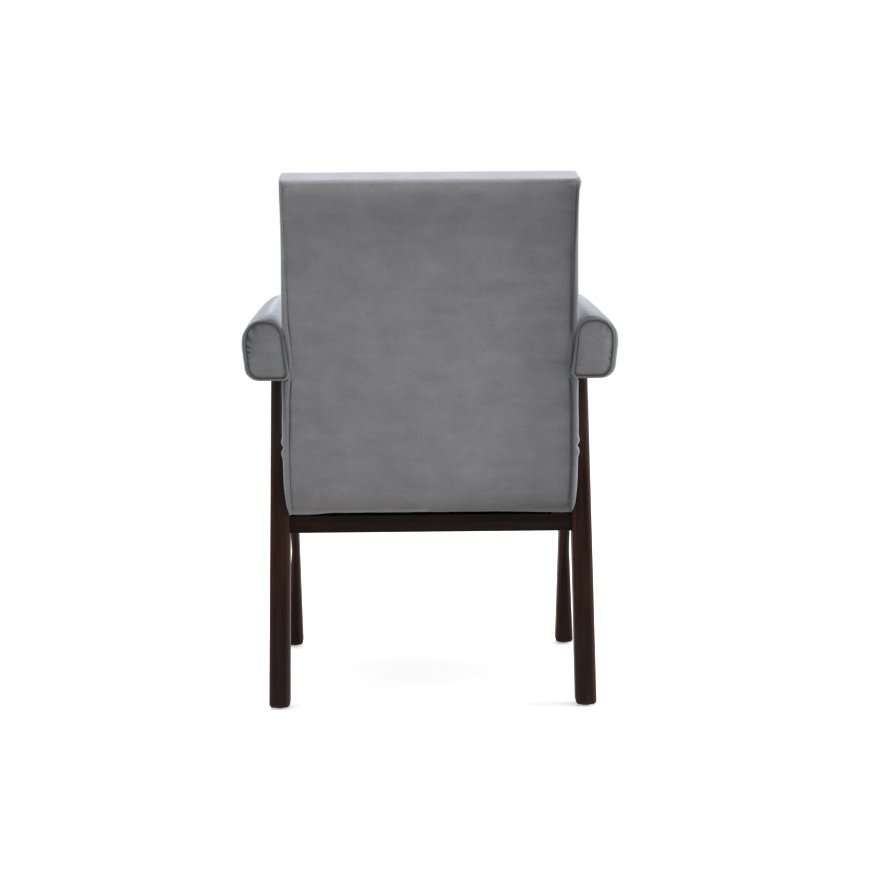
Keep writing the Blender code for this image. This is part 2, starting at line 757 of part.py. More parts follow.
def fix_seat(bars, dust_cover, rear_rail, front_rail):
    inset = seat_frame_inset()
    side_x = seat_half - inset - SEAT_BAR_WIDTH / 2
    rear_y = -inset - SEAT_BAR_WIDTH / 2
    places = [
        ("rear", REAR_SEAT_BOLT_X, rear_y, REAR_RAIL_THICK, rear_rail),
        ("front", side_x, front_rail_middle(), FRONT_RAIL_HEIGHT, front_rail),
    ]
    for word, side in sides:
        for end, x, y, thick, rail in places:
            head = rail_top - thick + BOLT_SINK + BOLT_HEAD_HEIGHT
            bar = bars["seat_bar_rear"] if end == "rear" else bars["seat_bar_" + word]
            name = "seat_bolt_" + end + "_" + word
            place = (side * x, y, head)
            hole = make_bolt(name, BOLT_BITE - head, steel, seat_axis, place)
            for piece in (rail, dust_cover, bar):
                cut(piece, hole)
            sink_head(name, rail, seat_axis, place)


def stile_foot(depth):
    """Where a stile meets the top of the rear rail along the back's axis, at a depth from its rear face."""
    y_zero, z_zero = seat_to_chair(0, rail_top + CLEARANCE)
    y_start, z_start = back_to_chair(-depth, 0)
    drop = z_zero - tan(slope) * (y_start - y_zero) - z_start
    return drop / (cos(recline) + tan(slope) * sin(recline))


def make_back_frame():
    rear = PANEL_THICK + CLEARANCE
    top = BACK_LENGTH - BACK_TOP_SPACE
    outline = [
        (-rear, stile_foot(rear)),
        (-frame_front, stile_foot(frame_front)),
        (-frame_front, top),
        (-rear, top),
    ]
    stiles = {}
    for word, side in sides:
        name = "back_stile_" + word
        mesh = prism(name, outline, side * (stile_outer - STILE_WIDTH), side * stile_outer)
        stiles[word] = add_piece(name, mesh, beech, back_axis)
    half = stile_outer - STILE_WIDTH - CLEARANCE
    bars = (("back_bar_top", top - BACK_BAR_HEIGHT), ("back_bar_bottom", PANEL_LIP + CLEARANCE))
    for name, low in bars:
        mesh = box(name, (-half, -frame_front, low), (half, -rear, low + BACK_BAR_HEIGHT))
        add_piece(name, mesh, beech, back_axis)
    return stiles


def make_back_padding():
    strap_rear = frame_front + CLEARANCE
    strap_front = strap_rear + STRAP_THICK
    pitch = BACK_LENGTH / (BACK_STRAPS + 1)
    for index in range(BACK_STRAPS):
        name = "back_strap_" + str(index + 1)
        low = (index + 1) * pitch - BACK_STRAP_WIDTH / 2
        high = low + BACK_STRAP_WIDTH
        mesh = box(name, (-stile_outer, -strap_front, low), (stile_outer, -strap_rear, high))
        add_piece(name, mesh, webbing, back_axis)
    shape = back_shape()
    padding = placed(cushion_rings(shape, skin_gap, strap_front + CLEARANCE), back_point)
    add_piece("back_foam", loft("back_foam", padding), foam, back_axis)
    lip_edge = COVER_WALL / 2
    lip_inner = lip_edge + COVER_WALL
    outer = panel_rings(shape, 0, [(lip_edge, PANEL_LIP)] + round_steps(LIP_ROUND, (0, 60)))
    inner = panel_rings(shape, 0, [(lip_inner, PANEL_LIP), (lip_inner, COVER_WALL + LIP_ROUND / 2)])
    outer = placed(outer + cushion_rings(shape, 0, PANEL_THICK), back_point)
    inner = placed(inner + cushion_rings(shape, COVER_WALL, PANEL_THICK), back_point)
    cover = add_piece("back_cover", loft("back_cover", outer, inner), velvet, back_axis)
    edge = PANEL_LIP + CLEARANCE
    rises = [(PANEL_THICK, edge), (COVER_WALL, edge), (0, edge + COVER_WALL)]
    panel = panel_rings(shape, 0, rises)
    rim = panel[-1]
    for share in CROWN_SHARES:
        panel.append(crown_ring(rim, share, -PANEL_CROWN * sin(share / CROWN_SHARES[-1] * pi / 2)))
    add_piece("outer_back_panel", loft("outer_back_panel", placed(panel, back_point)), velvet, back_axis)
    return cover


def pass_stiles(cover):
    """Slots in the underside of the back cover, through which the stiles reach the rear rail."""
    rear = PANEL_THICK
    front = frame_front + CLEARANCE
    for word, side in sides:
        name = "stile_slot_" + word
        edges = sorted((side * (stile_outer + CLEARANCE), side * (stile_outer - STILE_WIDTH - CLEARANCE)))
        slot = box(name, (edges[0], -front, -SEAT_HEIGHT), (edges[1], -rear, BACK_CORNER))
        cut(cover, add_tool(name, slot, back_axis))


def fix_back(stiles, rear_rail):
    """A bolt up through the rear rail into the foot of each stile."""
    depth = PANEL_THICK + CLEARANCE + BACK_FRAME_THICK / 2
    foot_y, foot_z = back_to_chair(-depth, stile_foot(depth) + BOLT_BITE / 2)
    along = ((foot_y - seat_rear_y) * cos(slope)) - (foot_z - SEAT_UNDERSIDE) * sin(slope)
    head = rail_top - REAR_RAIL_THICK + BOLT_SINK + BOLT_HEAD_HEIGHT
    length = rail_top - head + BOLT_BITE
    for word, side in sides:
        name = "back_bolt_" + word
        place = (side * (stile_outer - STILE_WIDTH / 2), along, head)
        hole = make_bolt(name, length, steel, seat_axis, place)
        cut(rear_rail, hole)
        cut(stiles[word], hole)
        sink_head(name, rear_rail, seat_axis, place)


def make_arms(legs, stiles, back_cover):
    inner_end = ARM_END_DEPTH + CLEARANCE
    board_low = skin_gap
    board_high = board_low + ARM_BOARD_THICK
    welt = [(0, -ARM_WELT / 2), (ARM_WELT_LENGTH / 2, -ARM_WELT), (ARM_WELT_LENGTH, 0)]
    run = [ARM_LENGTH * share for share in ARM_SHARES]
    stations = welt + [(along, 0) for along in run]
    stations += [(ARM_LENGTH - along, inset) for along, inset in reversed(welt)]
    for word, side in sides:
        name = "arm_cover_" + word
        outer = arm_rings(side, stations, 0, ARM_HEIGHT)
        inner = arm_rings(side, [(along, COVER_WALL) for along, _ in stations], 0, ARM_HEIGHT)
        cover = add_piece(name, loft(name, outer, inner, tube=True), velvet, chair)
        name = "arm_board_" + word
        span = [(inner_end, skin_gap), (ARM_LENGTH - inner_end, skin_gap)]
        board = add_piece(name, loft(name, arm_rings(side, span, 0, board_high)), beech, chair)
        name = "arm_foam_" + word
        span = [(along, skin_gap) for along in (inner_end, *run, ARM_LENGTH - inner_end)]
        add_piece(name, loft(name, arm_rings(side, span, board_high + CLEARANCE, ARM_HEIGHT)), foam, chair)
        for place, start, way in (("rear", 0, 1), ("front", ARM_LENGTH, -1)):
            name = "arm_end_" + place + "_" + word
            steps = [(start + way * ARM_END_DEPTH, 0), (start + way * ARM_END_RIM, 0)]
            for share in ARM_END_SHARES:
                puff = ARM_END_CROWN * sin(share / ARM_END_SHARES[-1] * pi / 2)
                steps.append((start - way * puff, share))
            add_piece(name, loft(name, arm_end_rings(side, steps, start / ARM_LENGTH)), velvet, chair)
        fix_arm(word, side, legs, board, cover)
        fix_arm_to_back(word, side, board, cover, back_cover, stiles[word])


def arm_end_rings(side, steps, station):
    """Rings of an end panel, each drawn in towards the middle of the arm's section."""
    base = arm_section(0, ARM_HEIGHT, skin_gap, station)
    middle = ARM_HEIGHT / 2
    rings = []
    for along, share in steps:
        ring = [(arm_middle + x * (1 - share), z + (middle - z) * share) for x, z in base]
        rings.append([(side * x, ARM_REAR_Y - along, ARM_BOTTOM + z) for x, z in ring])
    return rings


def fix_arm(word, side, legs, board, cover):
    """A dowel from each leg into the arm board, and an opening for the leg in the arm cover."""
    kinds = (
        ("rear", rear_leg_sides, rear_leg_y, rear_leg_heights),
        ("front", front_leg_sides, front_leg_y, front_leg_heights),
    )
    for end, sides_at, y_at, heights_to in kinds:
        leg = legs[end + "_leg_" + word]
        heights = heights_to(leg_top + ARM_BOTTOM_ROUND)
        opening = make_leg(leg.name + ".opening", side, sides_at, y_at, heights, None, chair, 2 * CLEARANCE)
        cut(cover, opening)
        inner, outer = sides_at(leg_top)
        name = "arm_dowel_" + end + "_" + word
        low = -DOWEL_BITE_LEG
        high = DOWEL_BITE_BOARD
        stations = [
            (DOWEL_RADIUS - DOWEL_CHAMFER, low),
            (DOWEL_RADIUS, low + DOWEL_CHAMFER),
            (DOWEL_RADIUS, high - DOWEL_CHAMFER),
            (DOWEL_RADIUS - DOWEL_CHAMFER, high),
        ]
        dowel = add_piece(name, turned(name, stations), beech, chair)
        bore = [(DOWEL_RADIUS + CLEARANCE, z) for z in (low - CLEARANCE, high + CLEARANCE)]
        hole = add_tool(name + ".hole", turned(name + ".hole", bore), chair)
        for thing in (dowel, hole):
            thing.location = (side * (inner + outer) / 2, y_at(leg_top), leg_top)
        cut(leg, hole)
        cut(board, hole)


def fix_arm_to_back(word, side, board, cover, back_cover, stile):
    """A bolt from the arm board into the stile of the back, its head sunk in the board."""
    height = ARM_BOTTOM + skin_gap + ARM_BOARD_THICK / 2
    depth = PANEL_THICK + CLEARANCE + BACK_FRAME_THICK / 2
    along = (height - back_foot_z - depth * sin(recline)) / cos(recline)
    y, _ = back_to_chair(-depth, along)
    reach = ARM_WIDTH / 2 - skin_gap
    board_outer = arm_middle + reach + arm_lean(reach, height - ARM_BOTTOM)
    head = board_outer - BOLT_SINK - BOLT_HEAD_HEIGHT
    length = head - stile_outer + ARM_BOLT_BITE
    turn = (0, -side * pi / 2, 0)
    place = (side * head, y, height)
    name = "arm_bolt_" + word
    hole = make_bolt(name, length, steel, chair, place, turn)
    for piece in (board, cover, back_cover, stile):
        cut(piece, hole)
    sink_head(name, board, chair, place, turn)


def centre_chair():
    """Puts the middle of the chair's depth at y = 0."""
    bpy.context.view_layer.update()
    graph = bpy.context.evaluated_depsgraph_get()
    reach = []
    for piece in bpy.data.objects:
        if piece.type == "MESH" and not piece.hide_render:
            solid = piece.evaluated_get(graph)
            reach += [(solid.matrix_world @ vertex.co).y for vertex in solid.data.vertices]
    chair.location.y = -(min(reach) + max(reach)) / 2


legs = make_legs()
make_glides(legs)
rail_rear, rail_front = rear_rail_span()
rear_tenon_y = rail_rear - RAIL_ROUND - TENON_WIDTH / 2
rear_pair = (legs["rear_leg_left"], legs["rear_leg_right"])
front_pair = (legs["front_leg_left"], legs["front_leg_right"])
rear_rail = make_cross_rail("rear_rail", rail_front, rail_rear, REAR_RAIL_THICK, rear_tenon_y, rear_pair)
front_y = front_rail_middle()
front_span = (front_y - FRONT_RAIL_DEPTH / 2, front_y + FRONT_RAIL_DEPTH / 2)
front_rail = make_cross_rail("front_rail", *front_span, FRONT_RAIL_HEIGHT, front_y, front_pair)
make_side_rails(legs)
bars = make_seat_frame()
dust_cover = make_seat_padding()
fix_seat(bars, dust_cover, rear_rail, front_rail)
stiles = make_back_frame()
back_cover = make_back_padding()
pass_stiles(back_cover)
fix_back(stiles, rear_rail)
make_arms(legs, stiles, back_cover)
centre_chair()
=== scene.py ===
import json
from math import cos, exp, hypot, pi, radians, sin, tan

import bmesh
import bpy
import numpy as np
from mathutils import Matrix, Vector, noise


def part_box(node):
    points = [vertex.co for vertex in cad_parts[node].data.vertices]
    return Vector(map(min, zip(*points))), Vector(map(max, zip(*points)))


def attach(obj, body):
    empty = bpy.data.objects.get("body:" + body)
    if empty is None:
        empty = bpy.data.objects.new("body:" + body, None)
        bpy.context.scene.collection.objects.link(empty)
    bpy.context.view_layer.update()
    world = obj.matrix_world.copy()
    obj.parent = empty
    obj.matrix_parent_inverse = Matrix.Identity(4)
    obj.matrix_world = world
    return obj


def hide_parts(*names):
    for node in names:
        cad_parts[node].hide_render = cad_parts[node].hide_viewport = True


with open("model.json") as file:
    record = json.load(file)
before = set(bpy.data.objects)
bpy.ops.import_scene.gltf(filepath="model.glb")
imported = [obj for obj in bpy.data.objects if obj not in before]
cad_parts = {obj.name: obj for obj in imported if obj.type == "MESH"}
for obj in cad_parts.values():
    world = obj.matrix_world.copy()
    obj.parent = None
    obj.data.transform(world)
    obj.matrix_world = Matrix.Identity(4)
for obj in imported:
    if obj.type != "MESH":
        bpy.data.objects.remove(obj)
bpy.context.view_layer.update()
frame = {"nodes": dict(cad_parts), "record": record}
nodes = frame["nodes"]
scene = bpy.context.scene
scene.view_settings.view_transform = "Standard"
print("frame loaded,", len(nodes), "nodes")

bothSides = (("left", 1), ("right", -1))

# where the chair's own lines run, in metres
chair = {
    "rearFeetY": 0.2315,
    "rearSlant": radians(17.3),
    "frontSlant": radians(26.0),
    "feetApart": 0.500,
    "recline": radians(14.7),
    "backFoot": (0.1665, 0.3030),  # lower rear edge of the back, y and z
    "seatSlope": radians(4.5),
    "seatRear": (0.0927, 0.3077),  # lower rear edge of the seat, y and z
}


def clamp(value):  # kept from 0 to 1
    return min(max(value, 0), 1)


def level(points, value):  # straight run through (place, amount) pairs
    return float(np.interp(value, *zip(*points)))


def ease(points, value):  # the same run with soft bends
    if value <= points[0][0]:
        return points[0][1]
    for (a, p), (b, q) in zip(points, points[1:]):
        if value <= b:
            t = (value - a) / (b - a)
            return p + (q - p) * t * t * (3 - 2 * t)
    return points[-1][1]


def hump(value, middle, reach):  # 1 in the middle, 0 past its reach
    t = min(abs(value - middle) / reach, 1)
    return (1 - t * t) ** 2


def fade(value, reach):  # 1 at 0, falling away like a bell
    return exp(-(value / reach) ** 2)


def bow(t):  # a quarter circle from 0 to 1
    return 1 - (1 - t ** 2) ** 0.5


def ripple(point, size, shift=0.0):  # smooth unevenness from -1 to 1
    return noise.noise(Vector((point[0] + shift, point[1], point[2])) / size)


def waves(point, runs):  # ripples of several heights and sizes
    return sum(height * ripple(point, size) for height, size in runs)


def backToChair(x, rise, along):
    y, z = chair["backFoot"]
    c, s = cos(chair["recline"]), sin(chair["recline"])
    return Vector((x, y - rise * c + along * s, z + rise * s + along * c))


def seatToChair(x, rise, along):
    y, z = chair["seatRear"]
    c, s = cos(chair["seatSlope"]), sin(chair["seatSlope"])
    return Vector((x, y - along * c + rise * s, z + along * s + rise * c))


def addPiece(name, verts, faces, finish, stands=(), sharp=None, marks=None):
    mesh = bpy.data.meshes.new(name)
    mesh.from_pydata([tuple(v) for v in verts], [], faces)
    for key, values in (marks or {}).items():
        mesh.attributes.new(key, "FLOAT", "POINT").data.foreach_set("value", values)
    build = bmesh.new()
    build.from_mesh(mesh)
    bmesh.ops.recalc_face_normals(build, faces=build.faces)
    build.to_mesh(mesh)
    build.free()
    mesh.materials.append(finish)
    mesh.shade_smooth()
    if sharp:
        mesh.set_sharp_from_angle(angle=radians(sharp))
    piece = bpy.data.objects.new(name, mesh)
    scene.collection.objects.link(piece)
    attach(piece, "root")
    if stands:
        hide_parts(*stands)
    return piece


def smoothOnce(piece):
    modifier = piece.modifiers.new("smooth", "SUBSURF")
    modifier.levels = 1
    modifier.render_levels = 1


def ringFaces(rows, count):  # squares between rings of points
    faces = []
    for r in range(rows - 1):
        for i in range(count):
            j = (i + 1) % count
            faces.append((r * count + i, r * count + j, (r + 1) * count + j, (r + 1) * count + i))
    return faces


def barFaces(rows, count):  # the same, with a face over both ends
    ends = [tuple(range(count)), tuple(range((rows - 1) * count, rows * count))]
    return ringFaces(rows, count) + ends


def gridFaces(across, up):
    row = across + 1
    corners = [j * row + i for j in range(up) for i in range(across)]
    return [(a, a + 1, a + 1 + row, a + row) for a in corners]


# finishes

class Wiring:  # adds and links the nodes of one tree
    def __init__(self, tree):
        self.tree = tree

    def node(self, kind, **values):
        made = self.tree.nodes.new("ShaderNode" + kind)
        for key, value in values.items():
            if key in made.inputs:
                made.inputs[key].default_value = value
            else:
                setattr(made, key, value)
        return made

    def link(self, source, socket, target, entry):
        self.tree.links.new(source.outputs[socket], target.inputs[entry])

    def fed(self, source, socket, kind, entry, **values):  # a new node, linked to its source
        made = self.node(kind, **values)
        self.link(source, socket, made, entry)
        return made

    def stretched(self, source, socket, **values):
        return self.fed(source, socket, "Mapping", "Vector", **values)

    def speckled(self, source, socket, **values):
        return self.fed(source, socket, "TexNoise", "Vector", **values)

    def ramp(self, source, socket, stops):
        made = self.fed(source, socket, "ValToRGB", "Fac")
        elements = made.color_ramp.elements
        for element, (place, colour) in zip(elements, (stops[0], stops[-1])):
            element.position = place
            element.color = (*colour, 1)
        for place, colour in stops[1:-1]:
            elements.new(place).color = (*colour, 1)
        return made

    def spread(self, source, socket, before, after, **values):
        made = self.fed(source, socket, "MapRange", "Value", **values)
        for key, value in zip(("From Min", "From Max", "To Min", "To Max"), (*before, *after)):
            made.inputs[key].default_value = value
        return made

    def scaled(self, source, socket, factor):
        made = self.fed(source, socket, "VectorMath", 0, operation="SCALE")
        self.link(factor, "Result", made, "Scale")
        return made

    def tinted(self, source, socket, factor, share, colour, **values):  # its colour is output 2
        made = self.fed(factor, share, "Mix", 0, data_type="RGBA", **values)
        self.link(source, socket, made, 6)
        made.inputs[7].default_value = (*colour, 1)
        return made


def newFinish(name, settings):
    finish = bpy.data.materials.new(name)
    finish.use_nodes = True
    shader = finish.node_tree.nodes["Principled BSDF"]
    for socket, value in settings.items():
        shader.inputs[socket].default_value = value
    return finish, shader, Wiring(finish.node_tree)


velvetLook = {
    "dark": (0.1565, 0.1570, 0.1655),
    "light": (0.2135, 0.2140, 0.2255),
    "napRange": (0.34, 0.66),  # part of the brushing that runs from dark to light
    "pileRange": (0.25, 0.75),
    "pileShade": (0.88, 1.12),
    "seam": 0.72,  # how far the painted shade darkens the pile, in sewn lines and elsewhere
    "woodReflectionTint": (1.0, 0.925, 0.84),  # painted reflection of the wood, a brownish tint near the foot of the back
    "roughness": 0.85,
    "shine": 0.2,
    "sheen": 0.78,
    "shadedSheen": 0.55,  # share of the sheen left on the right arm, turned down as a painted shade
    "sheenRoughness": 0.38,
    "sheenTint": (0.80, 0.86, 0.97, 1),
    "brushedAcross": (8.0, 12.0, 30.0),
    "brushedAlong": (16.0, 5.0, 16.0),
    "blotchSize": 19.0,
    "pileSize": 460.0,
    "bump": 0.25,
    "napDepth": 0.0015,
    "pileDepth": 0.0005,
}


def velvetFinish(name, brushing, sheen=1.0):
    look = velvetLook
    finish, shader, wiring = newFinish(name, {
        "Roughness": look["roughness"],
        "Specular IOR Level": look["shine"],
        "Sheen Weight": look["sheen"] * sheen,
        "Sheen Roughness": look["sheenRoughness"],
        "Sheen Tint": look["sheenTint"],
    })
    place = wiring.node("TexCoord")
    brushed = wiring.stretched(place, "Object", Scale=brushing)
    streak = wiring.speckled(brushed, "Vector", Scale=1.0, Detail=8.0, Roughness=0.66, Distortion=0.6)
    blotch = wiring.speckled(place, "Object", Scale=look["blotchSize"], Detail=7.0, Roughness=0.62,
                             Distortion=0.5)
    pile = wiring.speckled(place, "Object", Scale=look["pileSize"], Detail=2.0, Roughness=0.7)
    nap = wiring.fed(streak, "Fac", "Mix", "A", data_type="FLOAT", Factor=0.5)
    wiring.link(blotch, "Fac", nap, "B")
    shade = wiring.ramp(nap, "Result", list(zip(look["napRange"], (look["dark"], look["light"]))))
    pileShade = wiring.spread(pile, "Fac", look["pileRange"], look["pileShade"])
    tufted = wiring.scaled(shade, "Color", pileShade)
    # painted shade and painted highlights, read from each piece's mark
    sewn = wiring.node("Attribute", attribute_name="paintedShade")
    wearAndPaintedLight = wiring.spread(sewn, "Fac", (0.0, 1.0), (1.0, 1.0 - look["seam"]), clamp=False)
    shaded = wiring.scaled(tufted, "Vector", wearAndPaintedLight)
    woodReflection = wiring.node("Attribute", attribute_name="woodReflection")
    warmed = wiring.tinted(shaded, "Vector", woodReflection, "Fac", look["woodReflectionTint"], blend_type="MULTIPLY")
    wiring.link(warmed, 2, shader, "Base Color")
    napBump = wiring.fed(nap, "Result", "Bump", "Height", Strength=look["bump"], Distance=look["napDepth"])
    pileBump = wiring.fed(pile, "Fac", "Bump", "Height", Strength=look["bump"], Distance=look["pileDepth"])
    wiring.link(napBump, "Normal", pileBump, "Normal")
    wiring.link(pileBump, "Normal", shader, "Normal")
    return finish


woodLook = {
    "dark": (0.0105, 0.0068, 0.0060),
    "mid": (0.0200, 0.0108, 0.0090),
    "light": (0.0360, 0.0168, 0.0120),
    "wearAndPaintedLight": (0.075, 0.028, 0.018),  # edges where the stain has gone thin, with a painted highlight along them
    "ashen": (0.052, 0.039, 0.037),  # lighter, greyer tone above the seat, painted light over the arm's shadow, and at the rear feet
    "stains": (0.25, 0.50, 0.80),  # where in the figure dark, mid and light lie
    "frontLegTone": (0.88, 0.88, 0.88),
    # painted shade: the rails across the chair are darker, as if in the shadow of the back and seat
    "crossShadeTone": (0.58, 0.72, 0.76),
    "grainSize": (60.0, 60.0, 2.6),
    "ringSize": (30.0, 22.0, 1.1),
    "poreSize": (900.0, 900.0, 22.0),
    "ringShare": 0.35,
    "poreRange": (0.30, 0.50),
    "poreShade": (0.55, 1.0),
    "poreDepth": 0.0003,
    "bump": 0.3,
    "roughness": (0.40, 0.60),
    "shine": 0.035,
}


def woodFinish(name, turn, tone=(1.0, 1.0, 1.0)):
    look = woodLook
    colours = [look[key] for key in ("dark", "mid", "light", "wearAndPaintedLight")]
    *stains, wearAndPaintedLight = [[c * t for c, t in zip(colour, tone)] for colour in colours]
    finish, shader, wiring = newFinish(name, {"Specular IOR Level": look["shine"]})
    turned = wiring.stretched(wiring.node("TexCoord"), "Object", Rotation=turn)
    drawn = wiring.stretched(turned, "Vector", Scale=look["grainSize"])
    grain = wiring.speckled(drawn, "Vector", Scale=1.0, Detail=7.0, Roughness=0.62, Distortion=1.2)
    ringed = wiring.stretched(turned, "Vector", Scale=look["ringSize"])
    rings = wiring.fed(ringed, "Vector", "TexWave", "Vector", wave_type="RINGS",
                       Scale=1.3, Distortion=6.0, Detail=3.0, **{"Detail Scale": 1.6})
    fibre = wiring.stretched(turned, "Vector", Scale=look["poreSize"])
    pores = wiring.speckled(fibre, "Vector", Scale=1.0, Detail=3.0, Roughness=0.6)
    figure = wiring.fed(grain, "Fac", "Mix", "A", data_type="FLOAT", Factor=look["ringShare"])
    wiring.link(rings, "Fac", figure, "B")
    stain = wiring.ramp(figure, "Result", list(zip(look["stains"], stains)))
    poreShade = wiring.spread(pores, "Fac", look["poreRange"], look["poreShade"])
    porous = wiring.scaled(stain, "Color", poreShade)
    # edges where the stain has gone thin, plus a painted highlight along them
    edge = wiring.node("Attribute", attribute_name="edgeWearAndHighlight")
    rubbedAndLit = wiring.fed(edge, "Fac", "Math", 0, operation="MULTIPLY")
    wiring.link(grain, "Fac", rubbedAndLit, 1)
    thinnedAndLit = wiring.tinted(porous, "Vector", rubbedAndLit, "Value", wearAndPaintedLight)
    # lighter, greyer tone, partly painted light over the arm's shadow
    above = wiring.node("Attribute", attribute_name="ashen")
    faded = wiring.tinted(thinnedAndLit, 2, above, "Fac", look["ashen"])
    wiring.link(faded, 2, shader, "Base Color")
    dull = wiring.spread(grain, "Fac", (0.0, 1.0), look["roughness"])
    wiring.link(dull, "Result", shader, "Roughness")
    fine = wiring.fed(pores, "Fac", "Bump", "Height", Strength=look["bump"], Distance=look["poreDepth"])
    wiring.link(fine, "Normal", shader, "Normal")
    return finish


plainLook = {"speckRange": (0.3, 0.7), "roughnessRange": (0.85, 1.15), "bump": 0.3}


def plainFinish(name, dark, light, size, roughness, metallic=0.0, bumpDepth=0.0002):
    look = plainLook
    finish, shader, wiring = newFinish(name, {"Metallic": metallic})
    speck = wiring.speckled(wiring.node("TexCoord"), "Object", Scale=size, Detail=5.0, Roughness=0.6)
    shade = wiring.ramp(speck, "Fac", list(zip(look["speckRange"], (dark, light))))
    wiring.link(shade, "Color", shader, "Base Color")
    dull = wiring.spread(speck, "Fac", (0.0, 1.0), [roughness * share for share in look["roughnessRange"]])
    wiring.link(dull, "Result", shader, "Roughness")
    rough = wiring.fed(speck, "Fac", "Bump", "Height", Strength=look["bump"], Distance=bumpDepth)
    wiring.link(rough, "Normal", shader, "Normal")
    return finish


velvet = velvetFinish("velvet", velvetLook["brushedAcross"])
velvetAlong = velvetFinish("velvetAlong", velvetLook["brushedAlong"])
velvetShaded = velvetFinish("velvetShaded", velvetLook["brushedAlong"], velvetLook["shadedSheen"])  # right arm, a copy with less sheen as a painted shade
velvetSeamShadow = velvetFinish("velvetSeamShadow", velvetLook["brushedAcross"], sheen=0.0)  # a copy without sheen, a painted shade deep in a sewn line
rearLegWood = woodFinish("rearLegWood", (-chair["rearSlant"], 0, 0))
frontLegWood = woodFinish("frontLegWood", (chair["frontSlant"], 0, 0), woodLook["frontLegTone"])
# a darker copy of the walnut for the rails across, as a painted shade
crossWoodShaded = woodFinish("crossWoodShaded", (0, -pi / 2, 0), woodLook["crossShadeTone"])
sideWood = woodFinish("sideWood", (pi / 2, 0, 0))
beech = plainFinish("beechRaw", (0.42, 0.27, 0.14), (0.58, 0.41, 0.24), size=40.0, roughness=0.6)
foam = plainFinish("foamYellow", (0.66, 0.57, 0.38), (0.80, 0.73, 0.55), size=400.0, roughness=0.95,
                   bumpDepth=0.001)
webbing = plainFinish("webbingBlack", (0.05, 0.05, 0.05), (0.10, 0.10, 0.10), size=600.0, roughness=0.9)
dustCloth = plainFinish("dustCloth", (0.010, 0.010, 0.010), (0.022, 0.022, 0.022), size=900.0,
                        roughness=0.95)
zinc = plainFinish("zincSteel", (0.45, 0.45, 0.46), (0.62, 0.62, 0.64), size=300.0, roughness=0.35,
                   metallic=1.0)
nylon = plainFinish("nylonBlack", (0.014, 0.014, 0.014), (0.026, 0.026, 0.026), size=500.0, roughness=0.5)

slotFinish = {
    "stained_walnut": crossWoodShaded,
    "beech": beech,
    "grey_velvet": velvet,
    "foam": foam,
    "webbing": webbing,
    "dust_cloth": dustCloth,
    "zinc_steel": zinc,
    "black_nylon": nylon,
}
for part in frame["record"]["subparts"]:
    mesh = nodes[part["node"]].data
    mesh.materials.clear()
    mesh.materials.append(slotFinish[part["material_slot"]])
for word, _ in bothSides:  # their feet show under the back, so they are stained too
    nodes["back_stile_" + word].data.materials[0] = rearLegWood
print("finishes ready")

# wooden frame

legShape = {
    "bottom": 0.0028,
    "top": 0.532,
    "round": 0.0075,
    "leastRound": 0.002,
    "footRound": 0.006,
    "depth": [(0.0, 0.042), (0.350, 0.056), (0.535, 0.042)],
    "inner": 0.2305,
    "rearInner": [(0.335, 0.2305), (0.430, 0.2430)],
    "rearOuter": [(0.0, 0.2640), (0.20, 0.2634), (0.35, 0.2624), (0.53, 0.2620)],
    # thickness of each front leg
    "frontLeft": [(0.0, 0.0312), (0.19, 0.0138), (0.24, 0.0140), (0.40, 0.0200)],
    "frontRight": [(0.0, 0.0320), (0.19, 0.0184), (0.26, 0.0180), (0.40, 0.0200)],
    "rearAshen": [(0.0, 0.20), (0.08, 0.15), (0.16, 0.0), (0.35, 0.0), (0.45, 0.50)],
    "frontAshen": [(0.35, 0.0), (0.45, 0.50)],
    "edgeWearAndHighlight": 0.85,
    "footWear": 0.5,
    "ringStep": 0.010,
    "cornerSteps": 7,
    "sideSteps": 4,
}
crispAngle = 50  # wooden edges that bend more than this stay crisp


def roundedSection(low, high, radius, cornerSteps, sideSteps):
    # points round a rectangle with round corners, and how much each lies on a corner
    left, right = low[0] + radius, high[0] - radius
    bottom, top = low[1] + radius, high[1] - radius
    centres = [(right, bottom), (right, top), (left, top), (left, bottom)]
    points = []
    onEdge = []
    for k, (x, y) in enumerate(centres):
        for i in range(cornerSteps + 1):
            a = pi / 2 * (k - 1 + i / cornerSteps)
            points.append((x + radius * cos(a), y + radius * sin(a)))
            onEdge.append(sin(pi * i / cornerSteps))
        nextX, nextY = centres[(k + 1) % 4]
        for i in range(1, sideSteps):
            t = i / sideSteps
            points.append((x + (nextX - x) * t + radius * cos(a), y + (nextY - y) * t + radius * sin(a)))
            onEdge.append(0.0)
    return points, onEdge


